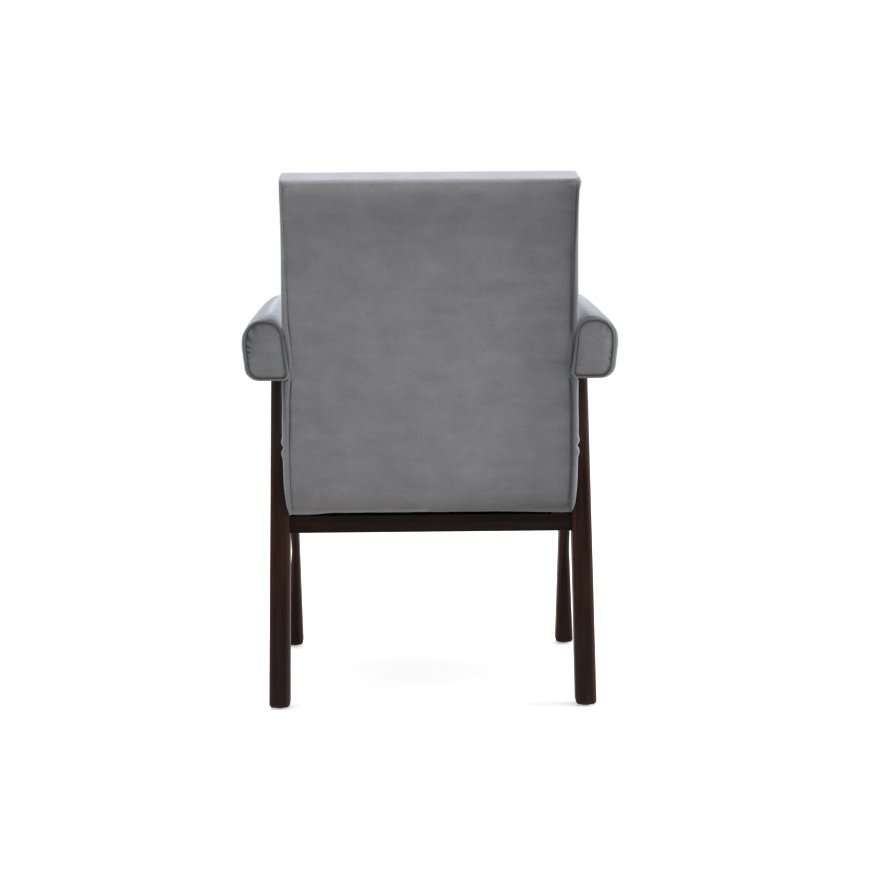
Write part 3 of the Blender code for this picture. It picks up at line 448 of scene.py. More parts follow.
def makeLeg(name, side, innerAt, outerAt, yAt, finish, dulled):
    s = legShape
    # a rounded foot, then even rings to the top
    turns = [radians(a) for a in range(0, 91, 15)]
    levels = [(s["bottom"] + s["footRound"] * (1 - cos(a)), s["footRound"] * (1 - sin(a))) for a in turns]
    start = levels[-1][0]
    count = int((s["top"] - start) / s["ringStep"])
    levels += [(start + (s["top"] - start) * (i + 1) / count, 0.0) for i in range(count)]
    verts = []
    wearAndHighlight = []
    ashen = []
    for z, inset in levels:
        reach = level(s["depth"], z) / 2 - inset
        low = (innerAt(z) + inset, yAt(z) - reach)
        high = (outerAt(z) - inset, yAt(z) + reach)
        radius = max(s["round"] - inset, s["leastRound"])
        points, onEdge = roundedSection(low, high, radius, s["cornerSteps"], s["sideSteps"])
        verts += [(side * x, y, z) for x, y in points]
        footWear = s["footWear"] if inset > 0 else 0.0
        wearAndHighlight += [min(1.0, s["edgeWearAndHighlight"] * e + footWear) for e in onEdge]
        ashen += [ease(dulled, z)] * len(points)
    addPiece(name, verts, barFaces(len(levels), len(points)), finish, [name], crispAngle,
             {"edgeWearAndHighlight": wearAndHighlight, "ashen": ashen})


def rearLegY(z):
    return chair["rearFeetY"] - tan(chair["rearSlant"]) * z


def frontLegY(z):
    return chair["rearFeetY"] - chair["feetApart"] + tan(chair["frontSlant"]) * z


for word, side in bothSides:
    makeLeg("rear_leg_" + word, side, lambda z: level(legShape["rearInner"], z),
            lambda z: level(legShape["rearOuter"], z), rearLegY, rearLegWood, legShape["rearAshen"])
    thickness = legShape["front" + word.title()]
    makeLeg("front_leg_" + word, side, lambda z: legShape["inner"],
            lambda z: legShape["inner"] + level(thickness, z), frontLegY, frontLegWood,
            legShape["frontAshen"])

railShape = {
    "round": 0.0016,
    "cornerSteps": 5,
    "edgeWearAndHighlight": 0.8,
    # the two rails across the chair
    "reach": 0.2312,
    "rearCover": 0.0018,  # just covers the bolt heads
    "lowCover": 0.0004,
    "crossRows": 24,
    "crossSteps": 5,
    # the two rails along it
    "sideHeight": 0.038,
    "sideReach": 0.012,  # their ends stop this far inside the legs
    "sideRows": 20,
    "sideSteps": 4,
}


def addRail(name, section, onEdge, rows, place, finish):
    verts = [place(i / rows, p, q) for i in range(rows + 1) for p, q in section]
    wearAndHighlight = [railShape["edgeWearAndHighlight"] * e for e in onEdge] * (rows + 1)
    addPiece(name, verts, barFaces(rows + 1, len(section)), finish, [name], crispAngle,
             {"edgeWearAndHighlight": wearAndHighlight})


def makeCrossRail(name):
    # its sloping section is read off the solid's middle, and carried across
    s = railShape
    c, d = cos(chair["seatSlope"]), sin(chair["seatSlope"])
    middle = [v.co for v in nodes[name].data.vertices if abs(v.co.x) < legShape["inner"]]
    ahead = [p.z * d - p.y * c for p in middle]
    above = [p.y * d + p.z * c for p in middle]
    low = (min(ahead) - s["rearCover"], min(above) - s["lowCover"])
    high = (max(ahead), max(above))
    section, onEdge = roundedSection(low, high, s["round"], s["cornerSteps"], s["crossSteps"])

    def place(t, a, b):
        return s["reach"] * (2 * t - 1), b * d - a * c, a * d + b * c

    addRail(name, section, onEdge, s["crossRows"], place, crossWoodShaded)


def makeSideRail(word, side):
    s = railShape
    name = "side_rail_" + word
    low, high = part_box(name)
    inner, outer = sorted((abs(low.x), abs(high.x)))
    c, d = cos(chair["seatSlope"]), sin(chair["seatSlope"])
    top = max(v.co.y * d + v.co.z * c for v in nodes[name].data.vertices)
    section, onEdge = roundedSection((inner, top - s["sideHeight"]), (outer, top), s["round"],
                                     s["cornerSteps"], s["sideSteps"])

    def place(t, x, b):
        height = b * c
        reach = level(legShape["depth"], height) / 2 - s["sideReach"]
        rear, front = rearLegY(height) - reach, frontLegY(height) + reach
        y = rear + (front - rear) * t
        return side * x, y, (b - y * d) / c

    addRail(name, section, onEdge, s["sideRows"], place, sideWood)


makeCrossRail("rear_rail")
makeCrossRail("front_rail")
for word, side in bothSides:
    makeSideRail(word, side)
print("wooden frame ready")

# upholstery

clothSettings = {
    "quality": 6,
    "mass": 0.3,
    "tension_stiffness": 14.0,
    "compression_stiffness": 14.0,
    "bending_stiffness": 0.4,
    "use_pressure": True,
}
clothFrames = 20
leastCorner = 0.3  # share of a corner's radius that stays in a cushion's inner rings


def cushionRings(s):
    # rise, inset and shade of rings from the hidden face up the sides and round the edge of the open one
    shoulder = s["height"] - s["edge"]
    sideRises = np.linspace(s["sideFrom"], shoulder, s["sideRows"])
    rings = s["firstRings"] + [(rise, 0.0, 0.0) for rise in sideRises]
    for a in s["edgeTurns"]:
        drop, groove = s["grooves"].get(a, (0.0, 0.0))
        rise = shoulder + s["edge"] * sin(radians(a)) - drop
        inset = s["edge"] * (1 - cos(radians(a))) + groove
        rings.append((rise, inset, s["sewnShade"] if a == s["sewnTurn"] else 0.0))
    return rings


def planLoop(s, inset):
    # points round a cushion's plan, from the middle of its first corner
    cornerSteps = s["cornerSteps"]
    radius = max(s["corner"] - inset, leastCorner * s["corner"])
    right, low, high = s["half"] - inset, inset, s["length"] - inset
    centres = [(radius - right, low + radius, 225), (right - radius, low + radius, 315),
               (right - radius, high - radius, 45), (radius - right, high - radius, 135)]
    loop = []
    for k, count in enumerate((s["across"], s["up"]) * 2):
        x0, y0, a0 = centres[k]
        x1, y1, _ = centres[(k + 1) % 4]
        turn = radians(a0 + 45)
        straight = count - 2 * cornerSteps
        for i in range(cornerSteps):
            a = radians(a0 + 45 * i / cornerSteps)
            loop.append((x0 + radius * cos(a), y0 + radius * sin(a)))
        for i in range(straight):
            t = i / straight
            loop.append((x0 + (x1 - x0) * t + radius * cos(turn), y0 + (y1 - y0) * t + radius * sin(turn)))
        for i in range(cornerSteps):
            a = turn + radians(45 * i / cornerSteps)
            loop.append((x1 + radius * cos(a), y1 + radius * sin(a)))
    return loop


def fillFace(verts, faces, first, across, up):
    # squares across the face inside a loop, spread from its four sides
    ids = list(range(first, first + 2 * (across + up)))
    bottom = ids[:across + 1]
    right = ids[across:across + up + 1]
    top = ids[across + up:2 * across + up + 1][::-1]
    left = (ids[2 * across + up:] + ids[:1])[::-1]
    spot = [np.array(v, float) for v in verts]
    grid = {}
    for i in range(across + 1):
        grid[i, 0] = bottom[i]
        grid[i, up] = top[i]
    for j in range(up + 1):
        grid[0, j] = left[j]
        grid[across, j] = right[j]
    corner = [spot[bottom[0]], spot[bottom[-1]], spot[top[0]], spot[top[-1]]]
    inside = {}
    for j in range(1, up):
        for i in range(1, across):
            u, v = i / across, j / up
            p = (1 - v) * spot[bottom[i]] + v * spot[top[i]] + (1 - u) * spot[left[j]] + u * spot[right[j]]
            p -= (1 - u) * (1 - v) * corner[0] + u * (1 - v) * corner[1]
            p -= (1 - u) * v * corner[2] + u * v * corner[3]
            grid[i, j] = len(verts)
            inside[len(verts)] = (2 * u - 1, 2 * v - 1)
            verts.append(tuple(p))
    for j in range(up):
        for i in range(across):
            faces.append((grid[i, j], grid[i + 1, j], grid[i + 1, j + 1], grid[i, j + 1]))
    return inside


def swellCloth(piece, sewn, pressure, cap):
    # air pressure under the sewn cloth, kept within the cap
    mesh = piece.data
    rest = np.zeros(len(mesh.vertices) * 3)
    mesh.vertices.foreach_get("co", rest)
    group = piece.vertex_groups.new(name="sewn")
    group.add(sewn, 1.0, "REPLACE")
    cloth = piece.modifiers.new("swell", "CLOTH")
    for key, value in clothSettings.items():
        setattr(cloth.settings, key, value)
    cloth.settings.vertex_group_mass = "sewn"
    cloth.settings.uniform_pressure_force = pressure
    cloth.settings.effector_weights.gravity = 0.0
    cloth.collision_settings.use_collision = False
    cloth.point_cache.frame_start = 1
    cloth.point_cache.frame_end = clothFrames
    for f in range(1, clothFrames + 1):
        scene.frame_set(f)
    posed = piece.evaluated_get(bpy.context.evaluated_depsgraph_get()).data
    moved = np.zeros(len(mesh.vertices) * 3)
    posed.vertices.foreach_get("co", moved)
    piece.modifiers.remove(cloth)
    piece.vertex_groups.remove(group)
    scene.frame_set(1)
    shift = (moved - rest).reshape(-1, 3)
    far = np.linalg.norm(shift, axis=1)
    far[far < 1e-9] = 1e-9
    kept = cap * np.tanh(far / cap)
    final = rest.reshape(-1, 3) + shift * (kept / far)[:, None]
    mesh.vertices.foreach_set("co", final.ravel())
    mesh.update()
    print(piece.name, "swelled by up to", round(float(kept.max()) * 1000, 1), "mm")


def addCushion(name, s, verts, shade, toChair, finish, stands):
    # closes both faces and crowns the open one, only partly where the cloth is going to swell
    count = 2 * (s["across"] + s["up"])
    rows = len(verts) // count
    faces = ringFaces(rows, count)
    hidden = fillFace(verts, faces, 0, s["across"], s["up"])
    inside = fillFace(verts, faces, (rows - 1) * count, s["across"], s["up"])
    shade += [0.0] * (len(hidden) + len(inside))
    crown = s["crown"] * s["startCrown"]
    for i, (u, v) in inside.items():
        x, along, rise = verts[i]
        verts[i] = (x, along, rise + crown * (1 - abs(u) ** 3) * (1 - abs(v) ** 3))
    placed = [toChair(x, rise, along) for x, along, rise in verts]
    piece = addPiece(name, placed, faces, finish, stands, None, {"paintedShade": shade})
    sewn = [*range((rows - s["freeRows"]) * count), *hidden]
    swellCloth(piece, sewn, s["pressure"], s["cap"])
    return piece


weltShape = {"sides": 12, "uneven": 0.05, "unevenSize": 0.006, "sideShift": 0.3}


def coveredCord(points, radius, outward, closed=False):
    # a welt along points, whose first side faces outward
    s = weltShape
    verts = []
    count = len(points)
    for i, p in enumerate(points):
        before = points[i - 1] if i > 0 or closed else p
        after = points[(i + 1) % count] if i < count - 1 or closed else p
        ahead = (after - before).normalized()
        out = (outward - ahead * outward.dot(ahead)).normalized()
        beside = ahead.cross(out)
        for k in range(s["sides"]):
            a = 2 * pi * k / s["sides"]
            r = radius * (1 + s["uneven"] * ripple(p, s["unevenSize"], s["sideShift"] * k))
            verts.append(p + (out * cos(a) + beside * sin(a)) * r)
    if not closed:
        return verts, barFaces(count, s["sides"])
    faces = ringFaces(count, s["sides"])
    last = (count - 1) * s["sides"]
    for k in range(s["sides"]):
        j = (k + 1) % s["sides"]
        faces.append((last + k, last + j, j, k))
    return verts, faces


# sizes of the arms, which also draw the back in where they hold it
armShape = {
    "bottom": 0.5305,
    "width": 0.0698,
    "length": 0.464,
    "rearY": 0.2435,
    "inner": 0.2297,
    "height": 0.0995,
    "shoulder": 0.068,
    # outline of the cover, and of the smaller D that is sewn into its ends
    "cover": {"low": 0.0, "inset": (0.0, 0.0), "shoulder": 0.068, "top": 0.0995,
              "crest": -0.012, "arch": (1.92, 1.92), "cornerOut": 0.019, "cornerIn": 0.010},
    "seamLeft": {"low": 0.0022, "inset": (0.0058, 0.0022), "shoulder": 0.066, "top": 0.0952,
                 "crest": -0.003, "arch": (2.45, 2.45), "cornerOut": 0.0165, "cornerIn": 0.009},
    "seamRight": {"low": 0.0022, "inset": (0.0076, 0.0022), "shoulder": 0.066, "top": 0.0945,
                  "crest": -0.004, "arch": (2.2, 3.1), "cornerOut": 0.0165, "cornerIn": 0.009},
    "around": 132,
    "crown": 0.0022,
    "rise": 0.014,  # the top climbs towards the front
    "swell": 0.003,
    "leanIn": 0.11,  # slope of the inner and outer sides, the outer one turns in above
    "leanOut": -0.07,
    "leanLow": 0.11,
    "leanFrom": 0.055,
    "middle": 0.48,  # share of the height that the puckers stand out from
    # rows of the cover, close together at both ends
    "endRows": [0.0005, 0.0012, 0.0021, 0.0032, 0.0046, 0.0064, 0.0086, 0.0115, 0.015, 0.020, 0.027, 0.035],
    "rowsFrom": 0.044,
    "rows": 38,
    "endRoll": 0.013,  # length over which the cover rolls over to the seam
    "rollPast": 1.1,
    "pucker": 0.0005,
    "puckerSize": 0.012,
    "puckerSqueeze": 3,  # closer together round the arm than along it
    "puckerReach": 0.022,
    "waves": [(0.0006, 0.06), (0.0003, 0.02)],
    "wavesFrom": [(0.02, 0.0), (0.05, 1.0)],
    # depth and reach of the shade at the sewn ends
    "endShade": [(0.9, 0.0022), (0.5, 0.011)],
    "dusk": {"left": 0.45, "right": 0.8},  # the back shades the rear of the top
    "duskReach": 0.2,
    "duskFrom": [(0.055, 0.0), (0.085, 1.0)],
    "sewnRows": 9,
    "sewnLow": 0.012,
    "sewnInside": -0.028,
    "pressure": 2.5,
    "cap": 0.003,
}

# back

backShape = {
    "half": 0.236,
    "length": 0.5605,
    "height": 0.066,  # from its rear face to its front
    "crown": 0.009,
    "startCrown": 0.35,
    "edge": 0.014,
    "corner": 0.0055,
    "cornerSteps": 4,
    "across": 58,
    "up": 120,
    # half width up the back, before the legs and arms draw it in
    "side": [(0.0, 0.2345), (0.009, 0.2358), (0.062, 0.2378), (0.142, 0.2379),
             (0.194, 0.2365), (0.300, 0.2345), (0.483, 0.2317), (0.552, 0.2321)],
    # half width of the outer panel to its seams
    "seamLeft": [(0.0, 0.2280), (0.050, 0.2292), (0.097, 0.2294), (0.183, 0.2266), (0.260, 0.2221),
                 (0.293, 0.2224), (0.345, 0.2258), (0.434, 0.2272), (0.556, 0.2286)],
    "seamRight": [(0.0, 0.2276), (0.097, 0.2291), (0.183, 0.2278), (0.260, 0.2236),
                  (0.310, 0.2249), (0.434, 0.2252), (0.506, 0.2270), (0.556, 0.2298)],
    # rise, inset and shade of the lip behind the seam and of the rear edge
    "firstRings": [(0.0050, 0.0150, 1.0), (0.0030, 0.0128, 1.0), (0.0012, 0.0108, 0.7), (0.0, 0.0086, 0.25),
                   (0.0002, 0.0060, 0.0), (0.0014, 0.0032, 0.0), (0.0036, 0.0011, 0.0), (0.0066, 0.0, 0.0)],
    "sideFrom": 0.0125,
    "sideRows": 7,
    # degrees round the front edge, and the drop and inset of its groove
    "edgeTurns": (18, 36, 52, 62, 70, 80, 90),
    "grooves": {62: (0.00084, 0.0014)},
    "sewnTurn": 62,
    "sewnShade": 0.75,
    # the lower edge, which dips at both corners
    "dipLeft": [(0.160, 0.0), (0.195, 1.0)],
    "dipRight": [(0.10, 0.0), (0.225, 1.0)],
    "footRise": 0.0026,
    "footLow": 0.0006,
    "footWaves": [(0.0004, 0.03)],
    "footReach": 0.03,
    "boxing": 0.058,  # depth of the side strip, and how far it stands out
    "boxingPuff": 0.0022,
    # slopes at which the sides spread past the legs and arms
    "besideLeg": 1.3,
    "belowArm": 2.0,
    "behindArm": 1.4,
    "armGap": 0.001,
    "blend": 0.0010,
    # a fold where the legs start to press on the sides: share, place and reach of its rolls
    "legFold": 0.0026,
    "legFoldHeight": 0.417,
    "legFoldFrom": 0.002,
    "legFoldRise": 0.004,
    "legFoldRolls": [(1.0, 0.007, 0.009), (1.0, -0.009, 0.012), (-1.6, -0.001, 0.006)],
    # the arms squeeze the rear edge outward
    "squeeze": 0.0055,
    "squeezed": [(0.0, 0.0), (0.012, 1.0), (0.055, 1.0), (0.085, 0.0)],
    "squeezeInset": 0.0075,
    "squeezeRise": 0.018,
    # the top rear corner on the right stands out: place and reach up, across and through the back
    "ear": 0.0030,
    "earPlace": [(0.554, 0.016), (-0.234, 0.02), (0.01, 0.03)],
    "waves": [(0.0007, 0.05), (0.0003, 0.017)],
    "wavesFrom": [(0.04, 0.0), (0.06, 1.0)],
    "freeRows": 3,
    "pressure": 3.0,
    "cap": 0.008,
}

# painted shade and light on the back cover, 1 is the darkest
backShade = {
    # painted shadow on the left, by height from the arm's underside
    "belowArm": [(-0.10, 0.0), (-0.015, 0.8), (0.0, 0.8), (0.01, 0.0)],
    "belowArmFrom": 0.001,
    # painted shade along the rear edge on the right, up to just below the top
    "right": 0.5,
    "rightRise": 0.012,
    "rightBelow": 0.012,
    "fold": 0.6,
    "foldLine": (-0.001, 0.007),
    "top": -0.22,  # painted highlight along the top
    "topReach": [(0.004, 1.0), (0.010, 0.0)],
}


def softLeast(values, blend):
    least = min(values)
    return least - blend * np.log(sum(exp((least - v) / blend) for v in values))


def footRise(x, along):
    s = backShape
    dip = max(ease(s["dipLeft"], x), ease(s["dipRight"], -x))
    rise = s["footRise"] * (1 - dip) - s["footLow"] + waves((x, 0, 0), s["footWaves"])
    return rise * exp(-max(along, 0) / s["footReach"])


def backSeam(x, along):
    return ease(backShape["seamLeft" if x > 0 else "seamRight"], along)


def backSide(along, rise):
    s, arm = backShape, armShape
    spot = backToChair(0, rise, along)
    free = ease(s["side"], along) + s["boxingPuff"] * sin(pi * clamp(rise / s["boxing"]))
    behind = spot.y - rearLegY(spot.z) - level(legShape["depth"], spot.z) / 2
    if behind > s["legFoldFrom"]:
        height = spot.z - s["legFoldHeight"]
        rolls = sum(share * hump(height, middle, reach) for share, middle, reach in s["legFoldRolls"])
        free += s["legFold"] * rolls * min(rise / s["legFoldRise"], 1)
    legRoom = level(legShape["rearInner"], spot.z) + max(behind, 0) * s["besideLeg"]
    up = spot.z - arm["bottom"]
    corner = arm["cover"]["cornerIn"]
    armRoom = arm["inner"] + arm["leanIn"] * (max(up, 0) - arm["leanFrom"]) + max(-up, 0) * s["belowArm"]
    armRoom += corner * bow(clamp(1 - up / corner))
    armRoom += arm["width"] / 2 * bow(clamp((up - arm["shoulder"]) / (arm["height"] - arm["shoulder"])))
    armRoom += max(spot.y - arm["rearY"] - s["armGap"], 0) * s["behindArm"]
    return softLeast((free, legRoom, armRoom), s["blend"])


def armSqueeze(along, rise, inset):
    s = backShape
    share = ease(s["squeezed"], backToChair(0, rise, along).z - armShape["bottom"])
    share *= max(1 - inset / s["squeezeInset"], 0) * max(1 - rise / s["squeezeRise"], 0)
    return s["squeeze"] * share


def backCoverShade(x, along, rise, mark):
    s, back = backShade, backShape
    z = backToChair(0, rise, along).z
    dim = mark
    if x > 0 and rise > s["belowArmFrom"]:
        dim = max(dim, ease(s["belowArm"], z - armShape["bottom"]))
    elif x < 0 and along < back["length"] - s["rightBelow"]:
        dim = max(dim, s["right"] * max(1 - rise / s["rightRise"], 0))
    fold = hump(z - back["legFoldHeight"], *s["foldLine"]) * min(rise / back["legFoldRise"], 1)
    dim = max(dim, s["fold"] * fold)
    return dim + (s["top"] - dim) * ease(s["topReach"], back["length"] - along)


def makeBackCover():
    s = backShape
    verts = []
    shade = []
    for rise, inset, mark in cushionRings(s):
        for x, along in planLoop(s, inset):
            across = x * backSide(along, rise) / s["half"]
            verts.append((across, along + footRise(across, along), rise - armSqueeze(along, rise, inset)))
            shade.append(backCoverShade(x, along, rise, mark))
    piece = addCushion("backCover", s, verts, shade, backToChair, velvet, ["back_cover", "back_foam"])
    forward = Vector((0, -cos(chair["recline"]), sin(chair["recline"])))
    for vertex, (x, along, rise) in zip(piece.data.vertices, verts):
        up, over, through = [hump(at, *place) for at, place in zip((along, x, rise), s["earPlace"])]
        vertex.co.x -= s["ear"] * up * over * through
        vertex.co += forward * waves((x, along, rise), s["waves"]) * level(s["wavesFrom"], rise)
    smoothOnce(piece)


panelShape = {
    "across": 64,
    "up": 78,
    "even": 0.35,  # share of the rows' spacing that is not drawn to the edges
    "low": 0.0035,
    "topGap": 0.0008,
    "crown": 0.0026,
    "waves": [(0.0006, 0.09), (0.00025, 0.03)],
    "sunk": 0.0030,  # depth at the seams and at the foot, and how far in it reaches
    "sunkSeam": 0.0016,
    "sunkFoot": 0.0035,
    "pulled": 0.0010,
    "pulledReach": 0.010,
    "pucker": 0.0004,
    "puckerTurn": 520,
    "puckerDrift": [(3.0, 0.04)],
    "puckerReach": 0.007,
    "topRoll": [(0.0, 0.0062), (0.0011, 0.0032), (0.0032, 0.0010), (0.0060, -0.0002), (0.0100, 0.0)],
    "turnedIn": (0.985, 0.99, 0.0056),  # width, length and height of the edge turned in behind
    "crispAngle": 60,
}

# painted shade and light on the panel: a faint shaded seam on the left, a deep one on the right
panelShade = {
    "seamLeft": (0.4, 0.0018),
    "seamRight": (0.85, 0.0034),
    "deep": [(0.33, 0.36), (0.42, 0.52)],
    "deepReach": 0.011,
    "uneven": [(0.5, 0.035), (0.3, 0.012)],
    # darker to the right, along the top and at the foot, lighter in the middle
    "right": [(0.08, 0.0), (0.21, 0.20)],
    "top": (0.16, 0.495, 0.09),
    "foot": [(0.0, 1.0), (0.050, 0.0)],
    "footAcross": [(-0.22, 0.60), (-0.12, 0.42), (0.0, 0.30), (0.22, 0.20)],
    "middle": -0.11,
    "middleAcross": (0.0, 0.22),
    "middleUp": (0.25, 0.27),
    # painted highlight just below the top edge
    "topGlow": [(0.0, -0.80), (0.0065, -0.50), (0.013, -0.36), (0.019, -0.18), (0.026, 0.0)],
    "topGlowAcross": [(-0.22, 0.25), (-0.12, 1.0)],
    "woodReflection": [(0.004, 1.0), (0.048, 0.0)],
}


def closerToEnds(t):  # even steps, drawn together at both ends
    c = cos(pi * t)
    even = panelShape["even"]
    return 0.5 - 0.5 * c * (even + (1 - even) * abs(c) ** 0.5)


def panelRise(x, along, gap, u, v):
    s = panelShape
    full = s["crown"] * (1 - abs(2 * u - 1) ** 4) * (1 - abs(2 * v - 1) ** 6)
    drift = waves((x, along, 0), s["puckerDrift"])
    pucker = s["pucker"] * sin(along * s["puckerTurn"] + drift) * fade(gap, s["puckerReach"])
    fall = s["sunk"] * fade(gap, s["sunkSeam"]) + s["pulled"] * exp(-gap / s["pulledReach"])
    fall += level(s["topRoll"], backShape["length"] - along)
    fall += s["sunk"] * fade(along - s["low"], s["sunkFoot"])
    return fall - full - waves((x, along, 0), s["waves"]) - pucker


# painted shade and light over the panel
def panelDim(x, along, gap, down):
    s = panelShade
    depth, reach = s["seamLeft"] if x >= 0 else s["seamRight"]
    seam = depth * fade(gap, reach)
    if x < 0:
        uneven = 1 + waves((0, along, 0), s["uneven"])
        seam += uneven * ease(s["deep"], along) * exp(-gap / (s["deepReach"] * uneven))
    topDepth, topPlace, topReach = s["top"]
    top = topDepth * hump(along, topPlace, topReach)
    foot = ease(s["foot"], along) * level(s["footAcross"], x)
    lit = s["middle"] * hump(x, *s["middleAcross"]) * hump(along, *s["middleUp"])
    lit += ease(s["topGlow"], down) * level(s["topGlowAcross"], x)
    return 1 - (1 - min(1.0, seam)) * (1 - ease(s["right"], -x)) * (1 - top) * (1 - foot) * (1 - lit)


def makeOuterPanel():
    s = panelShape
    across, up = s["across"], s["up"]
    middle = backShape["length"] / 2
    low, high = s["low"], backShape["length"] - s["topGap"]
    verts = []
    shade = []
    woodReflection = []
    for j in range(up + 1):
        v = closerToEnds(j / up)
        along = low + (high - low) * v
        for i in range(across + 1):
            u = closerToEnds(i / across)
            edge = backSeam(u - 0.5, along)
            x = (2 * u - 1) * edge
            gap = edge - abs(x)
            verts.append((x, along + footRise(x, along - low), panelRise(x, along, gap, u, v)))
            shade.append(panelDim(x, along, gap, high - along))
            woodReflection.append(ease(panelShade["woodReflection"], along))
    row = across + 1
    faces = gridFaces(across, up)
    # turned in behind, all the way round, to close the pad
    rim = list(range(row)) + [j * row + across for j in range(1, up + 1)]
    rim += [up * row + i for i in range(across - 1, -1, -1)] + [j * row for j in range(up - 1, 0, -1)]
    first = len(verts)
    wide, tall, height = s["turnedIn"]
    verts += [(verts[i][0] * wide, middle + (verts[i][1] - middle) * tall, height) for i in rim]
    shade += [1.0] * len(rim)
    woodReflection += [0.0] * len(rim)
    for k in range(len(rim)):
        j = (k + 1) % len(rim)
        faces.append((rim[k], rim[j], first + j, first + k))
    faces.append(tuple(range(first, first + len(rim))))
    placed = [backToChair(x, rise, along) for x, along, rise in verts]
    piece = addPiece("outerBackPanel", placed, faces, velvet, ["outer_back_panel"],
                     s["crispAngle"], {"paintedShade": shade, "woodReflection": woodReflection})


backWelt = {
    "radius": 0.0020,
    "points": 130,
    "ends": (-0.002, 0.0005),  # past the foot and past the top
    "lift": -0.0002,
    "bend": 0.012,  # both ends bend in, from their start over their length
    "topBend": (0.010, 0.0105),
    "footBend": (0.005, 0.007),
    "offset": {"left": 0.0017, "right": 0.0012},
    "rightShade": 0.8,
    "fadePoints": 9,
}


def makeBackWelt(word, side):
    s = backWelt
    length = backShape["length"]
    points = []
    for along in np.linspace(s["ends"][0], length + s["ends"][1], s["points"]):
        bend = s["bend"] * max(0, (along - length + s["topBend"][0]) / s["topBend"][1]) ** 2
        under = s["bend"] * max(0, (s["footBend"][0] - along) / s["footBend"][1]) ** 2
        x = side * (backSeam(side, along) + s["offset"][word])
        points.append(backToChair(x, s["lift"] + bend + under, along))
    outward = Vector((0, cos(chair["recline"]), -sin(chair["recline"])))
    verts, faces = coveredCord(points, s["radius"], outward)
    # the right welt takes the copy without sheen and a deep mark, a painted shade in the seam
    finish, depth = (velvet, 0.0) if side > 0 else (velvetSeamShadow, s["rightShade"])
    shade = []
    for i in range(s["points"]):  # fades out at the top
        shade += [depth * min(1, (s["points"] - 1 - i) / s["fadePoints"])] * weltShape["sides"]
    piece = addPiece("backWelt" + word.title(), verts, faces, finish,
                     marks={"paintedShade": shade})
    smoothOnce(piece)


makeBackCover()
makeOuterPanel()
for word, side in bothSides:
    makeBackWelt(word, side)
print("back ready")

# seat

seatShape = {
    "half": 0.2290,
    "length": 0.404,
    "height": 0.0985,
    "crown": 0.017,
    "startCrown": 0.4,
    "edge": 0.018,
    "corner": 0.022,
    "cornerSteps": 5,
    "across": 60,
    "up": 54,
    "sidePuff": 0.0008,
    "frontPuff": 0.0035,  # sides swell ahead of the front legs
    "frontFrom": [(0.225, 0.0), (0.29, 1.0)],
    # rise, inset and shade from the underside round the lower edge
    "firstRings": [(-0.0004, 0.034, 0.6), (-0.0006, 0.020, 0.3), (-0.0004, 0.010, 0.0),
                   (0.0004, 0.0045, 0.0), (0.0024, 0.0014, 0.0), (0.0056, 0.0, 0.0)],
    "sideFrom": 0.013,
    "sideRows": 9,
    # degrees round the top edge, and the drop and inset of its groove
    "edgeTurns": (15, 28, 38, 45, 52, 64, 77, 90),
    "grooves": {38: (0.00028, 0.00028), 45: (0.00126, 0.00126), 52: (0.00028, 0.00028)},
    "sewnTurn": 45,
    "sewnShade": 0.8,
    "waves": [(0.0009, 0.06), (0.0004, 0.02)],
    "wavesFrom": [(0.07, 0.0), (0.09, 1.0)],
    "freeRows": 5,
    "pressure": 4.0,
    "cap": 0.012,
}


def seatSide(along, rise):
    s = seatShape
    share = clamp(rise / (s["height"] - s["edge"]))
    return s["half"] + (s["frontPuff"] * ease(s["frontFrom"], along) + s["sidePuff"]) * sin(pi * share)


def makeSeatCover():
    s = seatShape
    verts = []
    shade = []
    for rise, inset, mark in cushionRings(s):
        loop = planLoop(s, inset)
        verts += [(x * seatSide(along, rise) / s["half"], along, rise) for x, along in loop]
        shade += [mark] * len(loop)
    piece = addCushion("seatCover", s, verts, shade, seatToChair, velvetAlong, ["seat_cover", "seat_foam"])
    for vertex, (x, along, rise) in zip(piece.data.vertices, verts):
        vertex.co.z += waves((x, along, rise), s["waves"]) * level(s["wavesFrom"], rise)
    smoothOnce(piece)


dustShape = {
    "inset": 0.0125,
    "across": 40,
    "up": 36,
    "below": 0.0010,
    "sag": 0.0035,
    "sagWaves": [(0.4, 0.07)],
    "sagReach": 0.05,
    "bays": [(0.145, 0.075), (0.31, 0.085)],  # middle and reach of the free cloth
    "pull": 0.0006,
    "pullTurn": 130,
    "pullReach": 0.02,
}


def makeDustCover():
    s = dustShape
    half = seatShape["half"] - s["inset"]
    low, high = s["inset"], seatShape["length"] - s["inset"]
    verts = []
    for j in range(s["up"] + 1):
        along = low + (high - low) * j / s["up"]
        between = sum(hump(along, middle, reach) for middle, reach in s["bays"])
        for i in range(s["across"] + 1):
            x = -half + 2 * half * i / s["across"]
            free = min(half - abs(x), along - low, high - along)
            sag = s["sag"] * between * min(free / s["sagReach"], 1)
            sag *= 1 + waves((x, along, 0), s["sagWaves"])
            pull = s["pull"] * sin(x * s["pullTurn"]) * exp(-free / s["pullReach"]) * between
            verts.append(seatToChair(x, -s["below"] - sag - pull, along))
    faces = gridFaces(s["across"], s["up"])
    piece = addPiece("dustCover", verts, faces, dustCloth, ["dust_cover"])


makeSeatCover()
makeDustCover()
print("seat ready")

# arms

# place along the arm, and the way out of it
armEnds = {"rear": (0.0, 1), "front": (armShape["length"], -1)}


